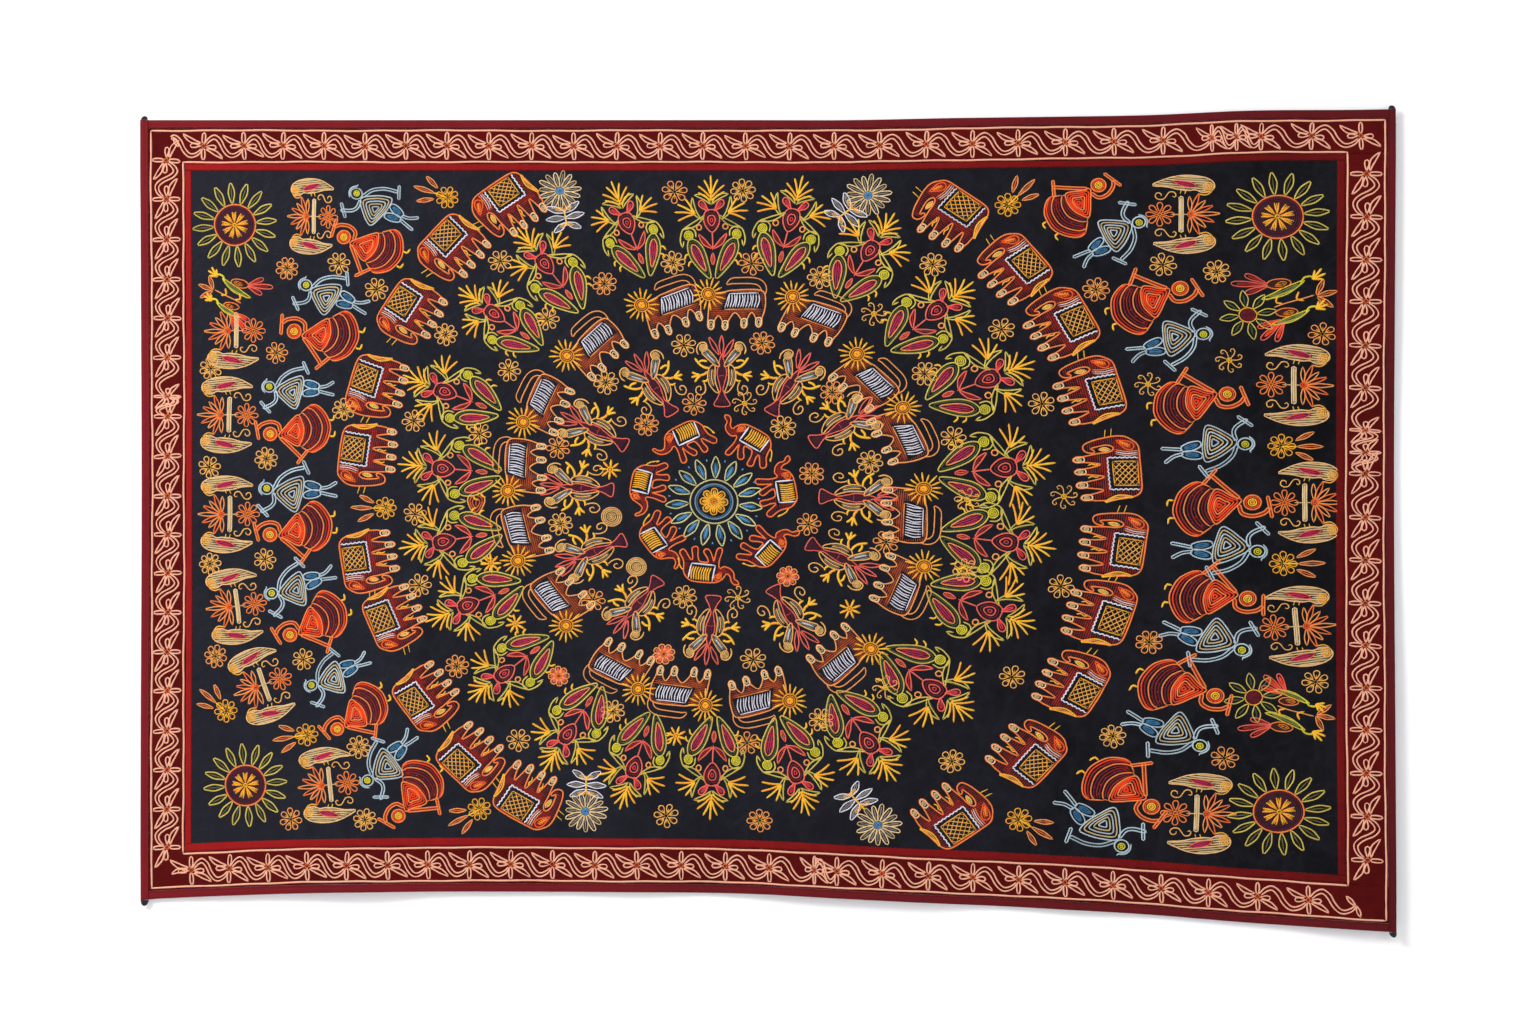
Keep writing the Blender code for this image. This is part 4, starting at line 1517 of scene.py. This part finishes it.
def side_mapping(side):
    """From places along a side and across its band, in millimetres, to the flat cloth in metres."""
    middle = BINDING[side] + BAND[side] / 2

    def place(points):
        along, up = points[:, 0] / 1000, points[:, 1] / 1000
        if side == "top":
            return along - HALF_WIDTH, middle - up
        if side == "bottom":
            return along - HALF_WIDTH, FLAT_HEIGHT - middle - up
        return (HALF_WIDTH - middle + up if side == "right" else middle - HALF_WIDTH + up), along
    return place


def vine_places(side):
    """Where the flowers of a side go, and the step from each to the next."""
    at, last, growth, short = VINE_SIDES[side]
    while at < last:
        share = stretch_at(at / 1000 - HALF_WIDTH)[0] if side in ("top", "bottom") else growth
        pitch = VINE_PITCH * share
        step = pitch * (0.5 if short <= at < short + pitch else 1.0) * RANDOM.uniform(0.97, 1.03)
        yield at, step
        at += step


def vine_along(side):
    """The vine of one side: flowers and the stems between, with loose leaves at its ends."""
    work, tall = Work(), BAND[side] / BAND["top"]
    places = list(vine_places(side))
    for i, (at, step) in enumerate(places):
        flower = vine_flower().scaled(min(1.0, step / FULL_STEP), tall)
        work.add(flower, at, RANDOM.uniform(-0.4, 0.4), RANDOM.uniform(-3, 3))
        stem = vine_stem().scaled(step / DRAWN_PITCH, tall)
        if i < len(places) - 1 or side == "bottom":
            work.add(stem, at)
        if side == "top" and i == 0:
            stem.threads = [(points[len(points) // 5:], *rest) for points, *rest in stem.threads]
            work.add(stem, at - step)
            for tip in ((-38, 8), (-30, -1)):
                work.leaf("shell", (at - 36, 10), (at + tip[0], tip[1]), 4.4)
    if side == "bottom":
        first, end = places[0][0], sum(places[-1])
        work.leaf("shell", (end - 3, -4), (end - 14, 7), 4.4)
        work.leaf("shell", (end - 2, -4), (end + 3, -17), 4.4)
        work.leaf("shell", (first - 6, -3), (first - 24, -4), 5.0, bend=-0.2)
    return work


def border_line(start, end):
    """One cream line along a side of the border, a little uneven."""
    work = Work(LINE_WIDTH)
    points = even([start, end], 4.0)
    phase = RANDOM.uniform(0, 6.28, 2)
    wander = 0.35 * np.sin(points / 37 + phase) + 0.25 * np.sin(points / 11 - phase)
    work.run("shell", points + wander[:, ::-1])
    return work


def add_border_stitching(thread):
    pieces = []
    for side in ("top", "bottom", "left", "right"):
        vine = Stitching(f"vine_{side}", "border_thread", thread, BAND_FRONT)
        vine.along_side(vine_along(side), side_mapping(side))
        pieces.append(vine)
    lines = Stitching("border_lines", "border_thread", thread, BAND_FRONT)
    for inner in (0, 1):
        inset = -LINE_INSET[1] if inner else LINE_INSET[0]
        inset = {side: (BINDING[side] + BAND[side] * inner) * 1000 + inset for side in BINDING}
        left, right = -HALF_WIDTH * 1000 + inset["left"], HALF_WIDTH * 1000 - inset["right"]
        top, low = inset["top"], FLAT_HEIGHT * 1000 - inset["bottom"]
        ends = ((left, top), (right, top), (right, low), (left, low), (left, top))
        for start, end in zip(ends, ends[1:]):
            lines.along_side(border_line(start, end), lambda p: (p[:, 0] / 1000, p[:, 1] / 1000))
    pieces.append(lines)
    return [piece.make() for piece in pieces]


# The black tails of the side bindings, past the hems

CORNER_ENDS = (
    # side, hem, width, length, lean in degrees, thickness
    ("left", "top", 0.0085, 0.0045, 8, 0.0034),
    ("right", "top", 0.0088, 0.0042, -6, 0.0034),
    ("left", "bottom", 0.0098, 0.0070, -6, 0.0036),
    ("right", "bottom", 0.0094, 0.0062, 14, 0.0036),
)
# Their rounded rim, and the ripple along them
TAIL_RIM, TAIL_RIPPLE = 0.0004, 0.0004


def add_corner_ends():
    black = cotton("black_tail", linear(10, 9, 12), linear(38, 36, 42), 0.85, 0.6, 0.3)
    pieces = []
    for side, hem, width, length, lean, thick in CORNER_ENDS:
        hand = -1 if side == "left" else 1
        upwards = 1 if hem == "top" else -1
        x = hand * (HALF_WIDTH - BINDING[side] / 2)
        z = hem_height(hem, np.array(x)) + upwards * GAP
        y = float(surface(np.array(x), z))
        bpy.ops.object.select_all(action="DESELECT")
        bpy.ops.mesh.primitive_uv_sphere_add(segments=24, ring_count=16, radius=0.5, location=(0, 0, 0))
        end = bpy.context.object
        end.name = end.data.name = f"tail_{hem}_{side}"
        bpy.ops.object.mode_set(mode="EDIT")
        bpy.ops.mesh.select_all(action="SELECT")
        bpy.ops.transform.resize(value=(width, thick, 2 * length))
        bpy.ops.mesh.bisect(plane_co=(0, 0, 0), plane_no=(0, 0, -upwards), use_fill=True,
                            clear_outer=True)
        bpy.ops.mesh.select_all(action="SELECT")
        bpy.ops.transform.translate(value=(x, y, float(z)))
        bpy.ops.object.mode_set(mode="OBJECT")
        for vertex in end.data.vertices:
            out = (vertex.co.z - float(z)) * upwards
            vertex.co.x += out * math.tan(math.radians(lean))
            vertex.co.y -= TAIL_RIPPLE * math.sin(out / length * math.pi * 2.5)
        bevel = end.modifiers.new("soft_rim", "BEVEL")
        bevel.width, bevel.segments, bevel.limit_method = TAIL_RIM, 2, "ANGLE"
        bpy.ops.object.modifier_apply(modifier=bevel.name)
        bpy.ops.object.shade_smooth()
        end.data.materials.append(black)
        pieces.append(ride_on_cloth(end, "corner_cloth", [f"corner_end_{hem}_{side}"]))
    return pieces


# Stage, light and camera

WALL_COLOUR, FLOOR_COLOUR = (0.94, 0.94, 0.95), (0.78, 0.78, 0.79)
WALL_BEHIND, FLOOR_BELOW = 0.010, -1.45
SKY_COLOUR, SKY_STRENGTH = (0.97, 0.98, 1.0, 1), 0.55


def add_stage():
    """A pale floor, and a pale wall that is open from behind so that the back can be seen."""
    pale = Finish("pale_wall", 0.9, specular=0.1)
    pale.set(pale.shader.inputs["Base Color"], WALL_COLOUR)
    tree = pale.tree
    mixed = pale.node("ShaderNodeMixShader")[0]
    clear = pale.node("ShaderNodeBsdfTransparent")[0]
    behind = pale.node("ShaderNodeNewGeometry")[6]
    shader = mixed.socket.node
    pale.set(shader.inputs[0], behind)
    tree.links.new(pale.shader.outputs[0], shader.inputs[1])
    tree.links.new(clear.socket, shader.inputs[2])
    tree.links.new(mixed.socket, tree.nodes["Material Output"].inputs["Surface"])
    bpy.ops.mesh.primitive_plane_add(size=1, location=(0, WALL_BEHIND, -0.4),
                                     rotation=(math.pi / 2, 0, 0))
    wall = bpy.context.object
    wall.name, wall.scale = "wall", (9, 5, 1)
    wall.data.materials.append(pale.material)
    wall.visible_shadow = wall.visible_diffuse = False
    floor_finish = Finish("pale_floor", 0.7, specular=0.2)
    floor_finish.set(floor_finish.shader.inputs["Base Color"], FLOOR_COLOUR)
    bpy.ops.mesh.primitive_plane_add(size=1, location=(0, 0, FLOOR_BELOW))
    floor = bpy.context.object
    floor.name, floor.scale = "floor", (12, 12, 1)
    floor.data.materials.append(floor_finish.material)


def add_light():
    world = bpy.data.worlds.new("room")
    world.use_nodes = True
    sky = world.node_tree.nodes["Background"]
    sky.inputs["Color"].default_value = SKY_COLOUR
    sky.inputs["Strength"].default_value = SKY_STRENGTH
    bpy.context.scene.world = world
    lamps = (
        # name, place, aimed at, size, watts
        ("key", (-2.6, -2.6, 1.6), (-0.1, 0, -0.45), 1.3, 150),
        ("fill", (2.6, -3.6, 0.2), (0.1, 0, -0.5), 2.4, 42),
        ("back", (-1.5, 3.2, 0.9), (0, 0, -0.5), 2.0, 60),
    )
    for name, place, aim, size, watts in lamps:
        lamp = bpy.data.objects.new(name, bpy.data.lights.new(name, "AREA"))
        lamp.data.shape, lamp.data.size, lamp.data.energy = "SQUARE", size, watts
        lamp.location = place
        look_at(lamp, aim)
        bpy.context.scene.collection.objects.link(lamp)


def look_at(thing, aim):
    way = mathutils.Vector(aim) - thing.location
    thing.rotation_euler = way.to_track_quat("-Z", "Y").to_euler()


def add_camera():
    camera = bpy.data.objects.new("camera", bpy.data.cameras.new("camera"))
    camera.data.lens, camera.data.sensor_width = CAMERA_LENS, CAMERA_SENSOR
    camera.location = (0, -FRAME_WIDTH * CAMERA_LENS / CAMERA_SENSOR, FRAME_MIDDLE)
    camera.rotation_euler = (math.pi / 2, 0, 0)
    bpy.context.scene.collection.objects.link(camera)
    bpy.context.scene.camera = camera
    bpy.context.scene.view_settings.view_transform = "Standard"


# Cloth turned under along a cut edge, which the flat size has to include
TURNED_UNDER = 0.0015


def declare_cloth(panels, borders):
    """Works out, for each strip, the size it was cut to and the border stitching on its side, and keeps
    neither.
    """
    for panel in panels:
        _, piece, side = panel.name.split("_")
        if piece == "ground":
            continue
        start, end = run_of(piece, side)
        width = {"binding": BINDING, "border": BAND, "strip": STRIP}[piece][side] + 2 * TURNED_UNDER
        level = side in ("top", "bottom")
        size = (end - start, width) if level else (width, end - start)
        sewn_on = [b for b in borders if side in b.name or (side == "top" and b.name == "border_lines")]
        sewn_on if piece == "border" else []


bpy.ops.object.select_all(action="DESELECT")
add_camera()
add_light()
add_stage()
cloth = add_cloth()
add_corner_ends()
stitching = add_embroidery(stitch_finish("stitch_thread", 0.6, 0.02))
border_stitching = add_border_stitching(stitch_finish("border_thread", 0.6, 0.02))
declare_cloth(cloth, border_stitching)
